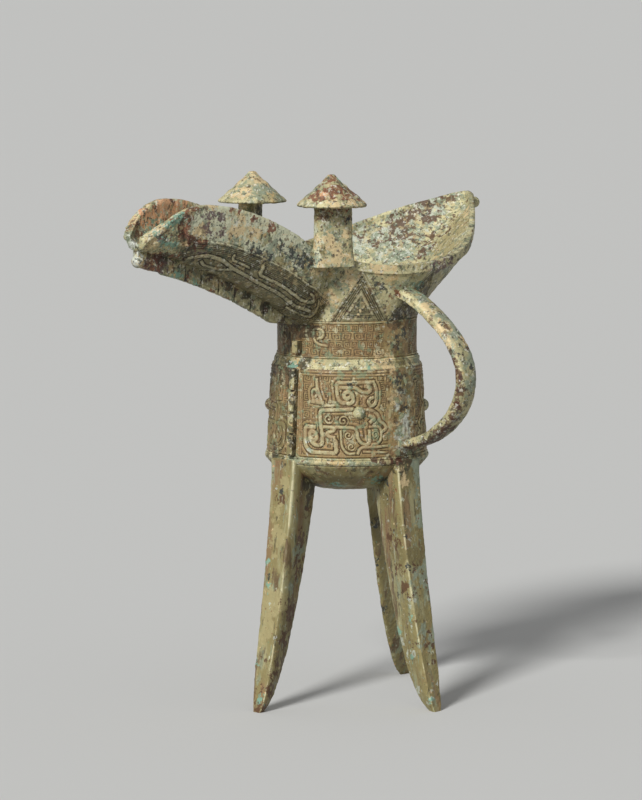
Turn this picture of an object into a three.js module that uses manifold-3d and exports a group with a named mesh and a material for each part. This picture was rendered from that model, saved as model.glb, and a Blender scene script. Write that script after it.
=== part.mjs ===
// A bronze jue: a three-legged wine cup with a long spout, a pointed tail,
// two capped posts and a strap handle. Millimetres, +Z up.
// +X runs towards the tail, -X towards the spout, and the handle is on -Y.
import * as THREE from "three";
import { mergeVertices } from "three/addons/utils/BufferGeometryUtils.js";
import Module from "manifold-3d";

// Heights of the cast sections, from the ground up
const BOWL_BOTTOM_Z = 83;
const RIDGE_Z = 95.5;
const RIDGE_HEIGHT = 3;
const SHOULDER_Z = 132.5;
const SHOULDER_HEIGHT = 4;
const NECK_TOP_Z = 151;

// Radii of the round body and its wall
const WALL = 2.4;
const BELLY_LOW_R = 31.5;
const BELLY_TAPER = 1.8;
const BELLY_TOP_R = BELLY_LOW_R - BELLY_TAPER;
const RIDGE_STEP = 0.5;
const NECK_R = 27.5;
const SHOULDER_STEP = 0.8;
const SHOULDER_R = NECK_R + SHOULDER_STEP;
const ROUND_SEGMENTS = 48;

// How far cutting tools reach beyond what they cut
const SHAFT = 40;

// Clearance between pieces that meet on a curved surface
const GAP = 0.3;

// Outline of the round bottom: shares of the belly's radius and of the bottom's depth
const BOWL_OUTLINE = [[0.38, 0.08], [0.7, 0.32], [0.89, 0.68]];

// Half of the mouth's rim from the tail tip to the spout: x, half width, height above the neck
const MOUTH_RIM = [
  [73.4, 0, 45.9], [71, 4.5, 44.8], [66, 9, 42.9], [56, 18, 39.2], [44, 27.5, 34.2], [30, 35.5, 28.6],
  [13, 38.5, 24.6], [-4, 35, 22.9], [-18, 28, 23.6], [-30.4, 19.8, 26.6], [-35, 10, 28], [-36, 0, 29],
];
const MOUTH_LEVELS = 6;
const MOUTH_FLARE = 1.35;
const TAIL_FLARE = 1.05;
const MOUTH_LEAN = 0.03;
const LIP_HEIGHT = 3.6;
const LIP_STEP = 0.7;
const RIM_STEPS = 28;

// Stations of the spout: x, half width, heights of the underside and of the rim above the neck's top,
// and the roundness of the section
const SPOUT_STATIONS = [
  [-14, 14, -7, 24.2, 1.3], [-27, 17.5, -2.5, 25.2, 1.2], [-38, 18.6, 2.5, 29.6, 1], [-48, 17.5, 8, 36.2, 0.85],
  [-62, 15.5, 14.3, 42.6, 0.8], [-77, 13.5, 20, 46.9, 0.8], [-91, 11.8, 24.6, 48.4, 0.8],
  [-101, 10.6, 27.4, 46.3, 0.8], [-110, 9, 29.4, 41.5, 0.8], [-116.6, 5.8, 31, 36.8, 0.8],
];
const SPOUT_LEAN = 0.07;
const SPOUT_STEPS = 27;

// Posts and caps. A cap sits over a station of the rim, a little outside it, and its post stands a little nearer
// the middle plane, turned towards the rim's run
const POST_STATION = 9;
const CAP_OUT = 1.7;
const POST_TURN = 25;
const POST_INSET = 1.2;
const POST_LENGTH = 14.5;
const POST_THICKNESS = 6.4;
const POST_BASE_LENGTH = 17;
const POST_CHAMFER = 1.4;
const POST_FOOT_RISE = 22;
const POST_BASE_Z = NECK_TOP_Z + POST_FOOT_RISE;
const POST_HEIGHT = 23;
const CAP_Z = POST_BASE_Z + POST_HEIGHT;
const CAP_R = 13.3;
const CAP_HEIGHT = 12;
const CAP_RIM = 1.2;
const CAP_TIP_R = 1.3;

// Handle: a strap on the -Y side, given by the distance from the axis and the height
const HANDLE_LINE = [
  [20, 165], [34, 160.5], [44.5, 154.5], [54.5, 146], [60.3, 137], [61.4, 128], [58.2, 118.7],
  [50.6, 110.7], [40, 105], [22, 101],
];
const HANDLE_WIDTH = 9.4;
const HANDLE_THICKNESS = 4;
const HANDLE_GROOVE = 1.4;
const HANDLE_STEPS = 30;

// Legs: three-sided blades. Each has the direction and distance of its outer face and a factor for its depth,
// at its top and at its sole
const LEGS = [
  ["leg_spout_side", [172, BELLY_LOW_R + 1.1, 1], [176.5, BELLY_LOW_R + 17.3, 0.8]],
  ["leg_handle_side", [-90, BELLY_LOW_R + 0.9, 1], [-90, BELLY_LOW_R + 16, 0.96]],
  ["leg_tail_side", [10, BELLY_LOW_R + 0.9, 1.25], [17, BELLY_LOW_R + 25.5, 1]],
];
// Stations of a leg: height, half width of the outer face, depth to the inner edge
const LEG_STATIONS = [
  [0, 1.9, 4.6], [4, 3, 8.4], [12, 4, 11.6], [24, 4.7, 13.8], [40, 5.3, 15.4], [62, 5.8, 16.8], [97, 6.6, 19],
];
const LEG_STEPS = 16;
const LEG_BEND = 1.4;
const LEG_EDGE_HALF = 0.7;

// Flanges cover the mould joints
const FLANGE_THICKNESS = 2.6;
const FLANGE_DEPTH = 2.2;
const FLANGE_NOTCHES = 3;
const NECK_FLANGE_Z = 138.6;
const NECK_FLANGE_HEIGHT = 4.6;
const NECK_FLANGE_DEPTH = 3;
const FLANGE_ROOT = 3;
const NOTCH_DEPTH = 1.2;
const NOTCH_HALF = 0.6;
const SPOUT_FLANGE_DEPTH = 5.8;
const SPOUT_FLANGE_TIP_DEPTH = 5.2;
const SPOUT_FLANGE_END_DEPTH = 1.4;
const SPOUT_FLANGE_FROM = 0.965;
const SPOUT_FLANGE_TO = 0.17;
const SPOUT_NOTCHES = [0.67, 0.6, 0.53, 0.465, 0.4, 0.34];
const SPOUT_BEAD_R = 2.4;
const TAIL_FLANGE_DEPTH = 2.4;
const TAIL_FLANGE_NOTCHES = 4;

// The nub outside the tail's tip
const TAIL_KNOB_R = 2.2;
const TAIL_KNOB_REACH = 3.4;
const TAIL_KNOB_DROP = 4.9;

// Raised eyes of the masks
const EYE_R = 2.5;
const EYE_SINK = 0.9;
const EYE_ANGLE = 51;
const EYE_Z = 116;

const wasm = await Module();
wasm.setup();

/** A closed solid from a geometry, turned inside out if its faces point inwards. */
function solidFrom(geometry) {
  const bare = geometry.clone();
  bare.deleteAttribute("normal");
  bare.deleteAttribute("uv");
  const merged = mergeVertices(bare, 1e-3);
  const points = merged.attributes.position.array;
  const index = Uint32Array.from(merged.index.array);
  let volume = 0;
  const corner = [new THREE.Vector3(), new THREE.Vector3(), new THREE.Vector3()];
  const faces = [];
  for (let i = 0; i < index.length; i += 3) {
    const [a, b, c] = [index[i], index[i + 1], index[i + 2]];
    if (a === b || b === c || a === c) continue;
    [a, b, c].forEach((v, k) => corner[k].fromArray(points, 3 * v));
    volume += corner[0].dot(corner[1].clone().cross(corner[2]));
    faces.push(a, b, c);
  }
  if (volume < 0) {
    for (let i = 0; i < faces.length; i += 3) [faces[i], faces[i + 1]] = [faces[i + 1], faces[i]];
  }
  const mesh = new wasm.Mesh({
    numProp: 3, vertProperties: Float32Array.from(points), triVerts: Uint32Array.from(faces),
  });
  return new wasm.Manifold(mesh);
}

/** A drawable geometry from a solid. */
function geometryFrom(solid) {
  const { vertProperties, triVerts } = solid.getMesh();
  const geometry = new THREE.BufferGeometry();
  geometry.setAttribute("position", new THREE.BufferAttribute(new Float32Array(vertProperties), 3));
  geometry.setIndex(new THREE.BufferAttribute(new Uint32Array(triVerts), 1));
  geometry.computeVertexNormals();
  return geometry;
}

/** A solid through a row of closed loops of equal length. flat gives a loop's plane coordinates. */
function loft(loops, flat) {
  const count = loops[0].length;
  const positions = loops.flat().flatMap((p) => [p.x, p.y, p.z]);
  const index = [];
  for (let row = 0; row + 1 < loops.length; row++) {
    for (let k = 0; k < count; k++) {
      const a = row * count + k;
      const b = row * count + ((k + 1) % count);
      index.push(a, b, b + count, a, b + count, a + count);
    }
  }
  for (const row of [0, loops.length - 1]) {
    const contour = loops[row].map((p) => new THREE.Vector2(...flat(p)));
    for (const face of THREE.ShapeUtils.triangulateShape(contour, [])) {
      index.push(...face.map((v) => v + row * count));
    }
  }
  return orientedSolid(positions, index);
}

/** A solid whose faces are turned so that neighbours agree along every shared edge. */
function orientedSolid(positions, index) {
  const seen = new Map();
  const faces = [];
  for (let i = 0; i < index.length; i += 3) faces.push([index[i], index[i + 1], index[i + 2]]);
  faces.forEach((face, f) => {
    for (let k = 0; k < 3; k++) {
      const [a, b] = [face[k], face[(k + 1) % 3]];
      const key = a < b ? `${a}_${b}` : `${b}_${a}`;
      if (!seen.has(key)) seen.set(key, []);
      seen.get(key).push([f, a < b]);
    }
  });
  const flipped = new Array(faces.length).fill(null);
  flipped[0] = false;
  const queue = [0];
  while (queue.length) {
    const f = queue.pop();
    const face = faces[f];
    for (let k = 0; k < 3; k++) {
      const [a, b] = [face[k], face[(k + 1) % 3]];
      const pair = seen.get(a < b ? `${a}_${b}` : `${b}_${a}`);
      const mine = pair.find(([g]) => g === f);
      for (const [g, way] of pair) {
        if (g === f || flipped[g] !== null) continue;
        flipped[g] = way === mine[1] ? !flipped[f] : flipped[f];
        queue.push(g);
      }
    }
  }
  const geometry = new THREE.BufferGeometry();
  geometry.setAttribute("position", new THREE.Float32BufferAttribute(positions, 3));
  geometry.setIndex(faces.flatMap((face, f) => (flipped[f] ? [face[0], face[2], face[1]] : face)));
  return solidFrom(geometry);
}

/** A round solid from a closed profile of [radius, height] points. */
function turned(profile) {
  const points = profile.map(([r, z]) => new THREE.Vector2(r, z));
  if (profile[0][0] > 0 || profile[profile.length - 1][0] > 0) points.push(points[0].clone());
  const geometry = new THREE.LatheGeometry(points, ROUND_SEGMENTS);
  geometry.rotateX(Math.PI / 2);
  return solidFrom(geometry);
}

/** A plate with the given outline in x and z, centred on the XZ plane. */
function plate(outline, thickness) {
  const shape = new THREE.Shape(outline.map(([x, z]) => new THREE.Vector2(x, z)));
  const geometry = new THREE.ExtrudeGeometry(shape, { depth: thickness, bevelEnabled: false });
  geometry.translate(0, 0, -thickness / 2);
  geometry.rotateX(Math.PI / 2);
  return solidFrom(geometry);
}

/** A smooth curve through stations, read at a share of its length in parameter space. */
function along(stations, share) {
  const spot = share * (stations.length - 1);
  const i = Math.min(Math.floor(spot), stations.length - 2);
  const t = spot - i;
  const at = (k) => stations[Math.max(0, Math.min(stations.length - 1, k))];
  return stations[0].map((_, n) => {
    const [p0, p1, p2, p3] = [at(i - 1)[n], at(i)[n], at(i + 1)[n], at(i + 2)[n]];
    const a = 2 * p1;
    const b = (p2 - p0) * t;
    const c = (2 * p0 - 5 * p1 + 4 * p2 - p3) * t * t;
    const d = (3 * p1 - p0 - 3 * p2 + p3) * t * t * t;
    return 0.5 * (a + b + c + d);
  });
}

/** One closed ring of the mouth: the share of the flare's height, how far in it lies, how far above the flare. */
function mouthRing(share, inset, above = 0) {
  const ring = [];
  for (let k = 0; k < 2 * RIM_STEPS; k++) {
    const half = k <= RIM_STEPS ? k : 2 * RIM_STEPS - k;
    const side = k <= RIM_STEPS ? 1 : -1;
    const [x, w, top] = along(MOUTH_RIM, half / RIM_STEPS);
    const y = Math.max(w, 0) * side;
    const angle = Math.atan2(y, x);
    const tail = Math.max(0, Math.cos(angle)) ** 2;
    const ease = share ** (MOUTH_FLARE + (TAIL_FLARE - MOUTH_FLARE) * tail);
    const r = NECK_R + (Math.hypot(x, y) - NECK_R) * ease - inset;
    const flareHeight = top + MOUTH_LEAN * y - LIP_HEIGHT;
    const z = NECK_TOP_Z + flareHeight * share + above;
    ring.push(new THREE.Vector3(r * Math.cos(angle), r * Math.sin(angle), z));
  }
  return ring;
}

/** The mouth as a filled solid whose side lies in from the outer face, with its upright lip. */
function mouthFilled(inset, lipStep, overhang) {
  const loops = [];
  if (overhang) loops.push(mouthRing(0, inset, -overhang));
  for (let k = 0; k <= MOUTH_LEVELS; k++) {
    const share = k / MOUTH_LEVELS;
    loops.push(mouthRing(share, inset + lipStep * share));
  }
  if (lipStep) loops.push(mouthRing(1, inset, 0.4));
  loops.push(mouthRing(1, inset, LIP_HEIGHT + overhang));
  return loft(loops, (p) => [p.x, p.y]);
}

/** One spout section as an open curve from the near rim under to the far rim. */
function spoutCurve(share, inset, rise) {
  const [x, w, lowAbove, highAbove, roundness] = along(SPOUT_STATIONS, share);
  const [low, high] = [NECK_TOP_Z + lowAbove, NECK_TOP_Z + highAbove];
  const points = [];
  const steps = 16;
  for (let k = 0; k <= steps; k++) {
    const angle = -Math.PI / 2 + (Math.PI * k) / steps;
    const drop = Math.max(0, Math.cos(angle)) ** roundness * (high - low - inset);
    const y = (w - inset) * Math.sin(angle);
    points.push(new THREE.Vector3(x, y, high - drop + SPOUT_LEAN * y));
  }
  if (rise) {
    points.unshift(points[0].clone().setZ(high + rise));
    points.push(points[points.length - 1].clone().setZ(high + rise));
  }
  return points;
}

/** The spout as a filled trough, open above when rise lifts its sides. */
function spoutFilled(inset, rise) {
  const loops = [];
  for (let k = 0; k <= SPOUT_STEPS; k++) loops.push(spoutCurve(k / SPOUT_STEPS, inset, rise));
  return loft(loops, (p) => [p.y, p.z]);
}

/** The spout's wall: the outer curve and the inner one joined at the rims. */
function spoutWall() {
  const loops = [];
  for (let k = 0; k <= SPOUT_STEPS; k++) {
    const outer = spoutCurve(k / SPOUT_STEPS, 0, 0);
    const inner = spoutCurve(k / SPOUT_STEPS, WALL, 0).reverse();
    loops.push([...outer, ...inner]);
  }
  return loft(loops, (p) => [p.y, p.z]);
}

const bowlDepth = RIDGE_Z - BOWL_BOTTOM_Z;
const bowlOutline = BOWL_OUTLINE.map(([r, depth]) => [BELLY_LOW_R * r, BOWL_BOTTOM_Z + bowlDepth * depth]);

// The filled body, used to cut what meets it
const bodyProfile = (extra) => [
  [0, BOWL_BOTTOM_Z - extra], ...bowlOutline.map(([r, z]) => [r + extra, z - extra]),
  [BELLY_LOW_R + RIDGE_STEP + extra, RIDGE_Z],
  [BELLY_LOW_R + RIDGE_STEP + extra, RIDGE_Z + RIDGE_HEIGHT], [BELLY_LOW_R + extra, RIDGE_Z + RIDGE_HEIGHT],
  [BELLY_TOP_R + extra, SHOULDER_Z], [SHOULDER_R + extra, SHOULDER_Z],
  [SHOULDER_R + extra, SHOULDER_Z + SHOULDER_HEIGHT], [NECK_R + extra, SHOULDER_Z + SHOULDER_HEIGHT],
  [NECK_R + extra, NECK_TOP_Z + 1], [0, NECK_TOP_Z + 1],
];
const bodyCutter = turned(bodyProfile(GAP));
const mouthCutter = mouthFilled(-GAP, 0, 1);
const mouthHollow = mouthFilled(WALL, 0, SHAFT);

/** A ring section between two heights, with its own outer radii. */
function ringSection(low, high, lowR, highR, inner = 0) {
  return turned([
    [lowR - WALL - inner, low], [lowR, low], [highR, high], [highR - WALL - inner, high],
  ]);
}

// The bottom's inner face lies one wall in from the outer one, moved along the slope's middle direction
const bowlInner = bowlOutline.map(([r, z]) => {
  const reach = r / BELLY_LOW_R;
  return [r - WALL * reach, z + WALL * Math.SQRT1_2 * (2 - reach)];
});
const bowlBottom = turned([
  [0, BOWL_BOTTOM_Z], ...bowlOutline, [BELLY_LOW_R, RIDGE_Z],
  [BELLY_LOW_R - WALL, RIDGE_Z], ...bowlInner.reverse(), [0, BOWL_BOTTOM_Z + WALL],
]);
const RIDGE_R = BELLY_LOW_R + RIDGE_STEP;
const ridge = ringSection(RIDGE_Z, RIDGE_Z + RIDGE_HEIGHT, RIDGE_R, RIDGE_R, RIDGE_STEP);
const belly = ringSection(RIDGE_Z + RIDGE_HEIGHT, SHOULDER_Z, BELLY_LOW_R, BELLY_TOP_R);
const shoulder = ringSection(SHOULDER_Z, SHOULDER_Z + SHOULDER_HEIGHT, SHOULDER_R, SHOULDER_R, SHOULDER_STEP);
let neck = ringSection(SHOULDER_Z + SHOULDER_HEIGHT, NECK_TOP_Z, NECK_R, NECK_R);

const spoutPassage = spoutFilled(-GAP, SHAFT);
neck = neck.subtract(spoutPassage);
const mouth = mouthFilled(0, LIP_STEP, 0).subtract(mouthHollow).subtract(spoutPassage);
const neckHollow = turned([
  [0, RIDGE_Z], [NECK_R - WALL, RIDGE_Z], [NECK_R - WALL, NECK_TOP_Z + 0.5], [0, NECK_TOP_Z + 0.5],
]);
const spout = spoutWall().subtract(mouthHollow).subtract(neckHollow);

/** The middle of a cap: a station of the rim, moved out from the axis, then in towards the middle plane. */
function capPlace(side, inset = 0) {
  const [x, w] = MOUTH_RIM[POST_STATION];
  const stretch = 1 + CAP_OUT / Math.hypot(x, w);
  return [x * stretch, side * (w * stretch - inset), 0];
}

/** A post: an oblong bar that widens to its foot on the rim. */
function post(side) {
  const loops = [];
  const steps = 8;
  for (let k = 0; k <= steps; k++) {
    const share = k / steps;
    const wide = POST_LENGTH + (POST_BASE_LENGTH - POST_LENGTH) * (1 - share) ** 3;
    const [a, b] = [wide / 2, POST_THICKNESS / 2];
    const chamfer = POST_CHAMFER;
    loops.push([
      [a, -b + chamfer], [a, b - chamfer], [a - chamfer, b], [-a + chamfer, b],
      [-a, b - chamfer], [-a, -b + chamfer], [-a + chamfer, -b], [a - chamfer, -b],
    ].map(([x, y]) => new THREE.Vector3(x, y, POST_BASE_Z + POST_HEIGHT * share)));
  }
  return loft(loops, (p) => [p.x, p.y]).rotate([0, 0, side * POST_TURN]).translate(capPlace(side, POST_INSET));
}

/** A low cone with a plain edge. */
function cap(side) {
  return turned([
    [0, CAP_Z], [CAP_R - 1, CAP_Z], [CAP_R, CAP_Z + CAP_RIM / 2], [CAP_R - 0.6, CAP_Z + CAP_RIM],
    [CAP_R * 0.6, CAP_Z + CAP_HEIGHT * 0.46], [CAP_TIP_R + 1, CAP_Z + CAP_HEIGHT * 0.9],
    [CAP_TIP_R, CAP_Z + CAP_HEIGHT], [0, CAP_Z + CAP_HEIGHT],
  ]).translate(capPlace(side));
}

/** The strap handle: a C section, hollow towards the cup, swept along its line. */
function handle() {
  const curve = new THREE.CatmullRomCurve3(HANDLE_LINE.map(([r, z]) => new THREE.Vector3(0, -r, z)));
  const loops = [];
  for (let k = 0; k <= HANDLE_STEPS; k++) {
    const p = curve.getPointAt(k / HANDLE_STEPS);
    const t = curve.getTangentAt(k / HANDLE_STEPS);
    const out = new THREE.Vector3(0, t.z, -t.y);
    const [w, h, g] = [HANDLE_WIDTH / 2, HANDLE_THICKNESS / 2, HANDLE_GROOVE];
    loops.push([
      [-w, -h], [-w, h * 0.4], [-w * 0.6, h], [w * 0.6, h], [w, h * 0.4], [w, -h],
      [w - 1.6, -h], [w - 2, -h + g], [-w + 2, -h + g], [-w + 1.6, -h],
    ].map(([x, o]) => new THREE.Vector3(x, 0, 0).addScaledVector(out, o).add(p)));
  }
  return loft(loops, (p) => [p.x, p.z]);
}

/** A leg: flat outer face, two side faces and an inner edge that curves out to the sole. */
function leg(top, sole) {
  const middle = new THREE.Vector2();
  const spot = ([degrees, r]) => new THREE.Vector2(r, 0).rotateAround(middle, THREE.MathUtils.degToRad(degrees));
  const [start, end] = [spot(top), spot(sole)];
  const turn = THREE.MathUtils.degToRad(sole[0]);
  const topZ = LEG_STATIONS[LEG_STATIONS.length - 1][0];
  const loops = [];
  for (let k = 0; k <= LEG_STEPS; k++) {
    const [z, half, plainDepth] = along(LEG_STATIONS, k / LEG_STEPS);
    const bend = (1 - z / topZ) ** LEG_BEND;
    const depth = plainDepth * THREE.MathUtils.lerp(top[2], sole[2], bend);
    const centre = start.clone().lerp(end, bend);
    loops.push([
      [0, -half], [0, half], [-depth * 0.25, half * 0.95], [-depth, LEG_EDGE_HALF],
      [-depth, -LEG_EDGE_HALF], [-depth * 0.25, -half * 0.95],
    ].map(([r, t]) => new THREE.Vector3(
      centre.x + r * Math.cos(turn) - t * Math.sin(turn), centre.y + r * Math.sin(turn) + t * Math.cos(turn), z,
    )));
  }
  return loft(loops, (p) => [p.x, p.y]).subtract(bodyCutter);
}

/** A notched upright flange at the given direction, between two heights with the wall's radius at each. */
function flange(degrees, [bottom, top], [lowR, highR], depth, notches) {
  const outline = [[lowR - FLANGE_ROOT, bottom], [lowR + depth, bottom]];
  for (let k = 1; k <= notches; k++) {
    const z = bottom + ((top - bottom) * k) / (notches + 1);
    const r = lowR + ((highR - lowR) * k) / (notches + 1) + depth;
    const [low, high] = [z - NOTCH_HALF, z + NOTCH_HALF];
    outline.push([r, low], [r - NOTCH_DEPTH, low], [r - NOTCH_DEPTH, high], [r, high]);
  }
  outline.push([highR + depth, top], [highR - FLANGE_ROOT, top]);
  return plate(outline, FLANGE_THICKNESS).rotate([0, 0, degrees]).subtract(bodyCutter);
}

/** A cutting tool for one narrow notch in the edge of an upright plate, tilted by an angle. */
function slit(angle) {
  const tool = new THREE.BoxGeometry(2 * NOTCH_HALF, 2 * FLANGE_THICKNESS, 2 * NOTCH_DEPTH);
  tool.rotateY(angle);
  return solidFrom(tool);
}

/** The flange under the spout: narrow notches, a round bead at its tip, and a slope up to the neck at its other end. */
function spoutFlange() {
  const upper = [];
  const lower = [];
  const steps = 18;
  for (let k = 0; k <= steps; k++) {
    const share = SPOUT_FLANGE_FROM + (SPOUT_FLANGE_TO - SPOUT_FLANGE_FROM) * (k / steps);
    const [x, , low] = along(SPOUT_STATIONS, share);
    const runOut = THREE.MathUtils.clamp((k - steps + 4) / 4, 0, 1);
    const full = k < 3 ? SPOUT_FLANGE_TIP_DEPTH : SPOUT_FLANGE_DEPTH;
    const depth = THREE.MathUtils.lerp(full, SPOUT_FLANGE_END_DEPTH, runOut);
    upper.push([x, NECK_TOP_Z + low + FLANGE_ROOT]);
    lower.push([x, NECK_TOP_Z + low - depth]);
  }
  let solid = plate([...upper, ...[...lower].reverse()], FLANGE_THICKNESS);
  for (const share of SPOUT_NOTCHES) {
    const [x, , low] = along(SPOUT_STATIONS, share);
    solid = solid.subtract(slit(0).translate([x, 0, NECK_TOP_Z + low - SPOUT_FLANGE_DEPTH]));
  }
  const bead = new THREE.SphereGeometry(SPOUT_BEAD_R, 14, 10);
  bead.translate(lower[0][0], 0, lower[0][1] + SPOUT_BEAD_R - 0.6);
  return solid.add(solidFrom(bead)).subtract(spoutPassage).subtract(bodyCutter).subtract(mouthCutter);
}

/** A raised round eye on the belly. */
function eye(degrees) {
  const ball = new THREE.SphereGeometry(EYE_R, 16, 10);
  const wallR = THREE.MathUtils.mapLinear(EYE_Z, RIDGE_Z + RIDGE_HEIGHT, SHOULDER_Z, BELLY_LOW_R, BELLY_TOP_R);
  ball.translate(wallR - EYE_SINK, 0, EYE_Z);
  return solidFrom(ball).rotate([0, 0, degrees]).subtract(bodyCutter);
}

/** The nub on the tail's tip: a short round bar with a domed end. */
function tailKnob() {
  const [tipX, , tipAbove] = MOUTH_RIM[0];
  const z = NECK_TOP_Z + tipAbove - TAIL_KNOB_DROP;
  const bar = new THREE.CylinderGeometry(TAIL_KNOB_R, TAIL_KNOB_R, 2 * TAIL_KNOB_REACH, 14);
  bar.rotateZ(Math.PI / 2);
  bar.translate(tipX, 0, z);
  const dome = new THREE.SphereGeometry(TAIL_KNOB_R, 14, 10);
  dome.translate(tipX + TAIL_KNOB_REACH, 0, z);
  return solidFrom(bar).add(solidFrom(dome)).subtract(mouthCutter);
}

/** The notched flange under the tail. It follows the mouth's outer face along its middle line. */
function tailFlange() {
  const [tipX, , tipAbove] = MOUTH_RIM[0];
  const line = (share) => [
    NECK_R + (tipX - NECK_R) * share ** TAIL_FLARE, NECK_TOP_Z + (tipAbove - LIP_HEIGHT) * share,
  ];
  const steps = 10;
  const [from, to] = [0.12, 0.86];
  const points = [];
  for (let k = 0; k <= steps; k++) points.push(line(from + (to - from) * (k / steps)));
  const [start, end] = [points[0], points[steps]];
  const slope = new THREE.Vector2(end[0] - start[0], end[1] - start[1]).normalize();
  const offset = ([x, z], depth) => [x + slope.y * depth, z - slope.x * depth];
  const under = points.map((p) => offset(p, TAIL_FLANGE_DEPTH));
  let solid = plate([...points.map((p) => offset(p, -FLANGE_ROOT)), ...under.reverse()], FLANGE_THICKNESS);
  for (let k = 1; k <= TAIL_FLANGE_NOTCHES; k++) {
    const [x, z] = offset(line(from + ((to - from) * k) / (TAIL_FLANGE_NOTCHES + 1)), TAIL_FLANGE_DEPTH);
    solid = solid.subtract(slit(-slope.angle()).translate([x, 0, z]));
  }
  return solid.subtract(mouthCutter).subtract(bodyCutter);
}

const bronze = (color, roughness) => new THREE.MeshStandardMaterial({ color, roughness, metalness: 0.35 });
const PATINA = { body: 0x8c8a66, pale: 0xa8a684, green: 0x93a183, brown: 0x7a5038, dark: 0x5f5a40 };

const group = new THREE.Group();
const place = (name, solid, color) => {
  const mesh = new THREE.Mesh(geometryFrom(solid), bronze(color, 0.65));
  mesh.name = name;
  group.add(mesh);
};

place("bowl_bottom", bowlBottom, PATINA.body);
place("base_ridge", ridge, PATINA.pale);
place("belly_wall", belly, PATINA.body);
place("shoulder_step", shoulder, PATINA.pale);
place("neck_wall", neck, PATINA.body);
place("mouth_and_tail", mouth, PATINA.green);
place("spout", spout, PATINA.dark);
place("spout_flange", spoutFlange(), PATINA.pale);
place("tail_flange", tailFlange(), PATINA.body);
place("tail_knob", tailKnob(), PATINA.green);
for (const [name, side] of [["near", -1], ["far", 1]]) {
  place(`post_${name}`, post(side).subtract(mouthCutter).subtract(spoutPassage), PATINA.pale);
  place(`cap_${name}`, cap(side), side < 0 ? PATINA.brown : PATINA.pale);
}
place("handle", handle().subtract(bodyCutter).subtract(mouthCutter), PATINA.pale);
for (const [name, top, sole] of LEGS) place(name, leg(top, sole), PATINA.body);
const sides = [["spout_side", 180], ["tail_side", 0], ["plain_side", 90]];
const bellyHeights = [RIDGE_Z + RIDGE_HEIGHT + GAP, SHOULDER_Z - GAP];
const neckHeights = [NECK_FLANGE_Z, NECK_FLANGE_Z + NECK_FLANGE_HEIGHT];
for (const [name, degrees] of sides) {
  const onBelly = flange(degrees, bellyHeights, [BELLY_LOW_R, BELLY_TOP_R], FLANGE_DEPTH, FLANGE_NOTCHES);
  const onNeck = flange(degrees, neckHeights, [NECK_R, NECK_R], NECK_FLANGE_DEPTH, 0);
  place(`belly_flange_${name}`, onBelly, PATINA.pale);
  place(`neck_flange_${name}`, onNeck, PATINA.pale);
}
const eyes = [
  ["spout_near", 180 + EYE_ANGLE], ["spout_far", 180 - EYE_ANGLE],
  ["tail_near", -EYE_ANGLE], ["tail_far", EYE_ANGLE],
];
for (const [name, degrees] of eyes) place(`eye_${name}`, eye(degrees), PATINA.pale);

// The finished cup stands on its soles with the middle of its outline at the origin
const box = new THREE.Box3().setFromObject(group);
const middle = box.getCenter(new THREE.Vector3());
for (const mesh of group.children) mesh.geometry.translate(-middle.x, -middle.y, -box.min.z);

export default group;
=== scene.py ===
"""A bronze jue wine vessel: its cast ornament, worn edges and patina, on a plain pale floor."""
import math

import bpy
import numpy as np
from mathutils import Matrix, Vector


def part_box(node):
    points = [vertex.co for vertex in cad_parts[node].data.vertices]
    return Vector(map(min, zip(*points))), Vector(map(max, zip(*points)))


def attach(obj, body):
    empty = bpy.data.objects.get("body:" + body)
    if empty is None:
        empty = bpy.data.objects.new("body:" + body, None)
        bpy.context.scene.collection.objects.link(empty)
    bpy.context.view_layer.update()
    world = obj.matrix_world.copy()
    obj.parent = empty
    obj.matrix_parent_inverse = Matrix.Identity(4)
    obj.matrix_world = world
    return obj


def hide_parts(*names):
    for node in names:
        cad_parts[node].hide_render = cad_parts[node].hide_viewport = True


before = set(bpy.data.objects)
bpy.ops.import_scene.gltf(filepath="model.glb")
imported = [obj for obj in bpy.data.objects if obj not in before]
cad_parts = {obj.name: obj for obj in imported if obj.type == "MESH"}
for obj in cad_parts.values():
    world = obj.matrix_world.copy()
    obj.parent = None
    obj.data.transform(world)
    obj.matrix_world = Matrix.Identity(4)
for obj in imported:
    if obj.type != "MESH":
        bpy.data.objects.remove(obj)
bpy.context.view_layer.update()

MM = 0.001
RANDOM = np.random.default_rng(11)
LATTICE = RANDOM.random((32, 32, 32))


# Places and sizes taken from the frame, in millimetres from the vessel's upright axis

belly_low, belly_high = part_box("belly_wall")
AXIS = np.array([(belly_low[0] + belly_high[0]) / 2, (belly_low[1] + belly_high[1]) / 2, 0.0]) / MM


def span(node):
    """A node's lowest and highest corners in millimetres, measured from the vessel's axis."""
    low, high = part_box(node)
    return np.array(low) / MM - AXIS, np.array(high) / MM - AXIS


RIDGE_Z, BELLY_Z = span("base_ridge")[0][2], span("base_ridge")[1][2]
BELLY_TOP_Z, SHOULDER_TOP_Z = span("shoulder_step")[0][2], span("shoulder_step")[1][2]
BELLY_LOW_R = span("belly_wall")[1][0]
BELLY_TAPER = 1.8
NECK_R = span("neck_wall")[1][0]
NECK_TOP_Z = span("neck_wall")[1][2]
SHOULDER_R = span("shoulder_step")[1][0]
WALL = 2.4
# The round bottom's outline: shares of the belly's radius and of the bottom's depth
BOWL_OUTLINE = [(0.38, 0.08), (0.7, 0.32), (0.89, 0.68)]
# Height of the tips of the blades that stand on the neck
BLADE_TIP_Z = 171.5

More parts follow.
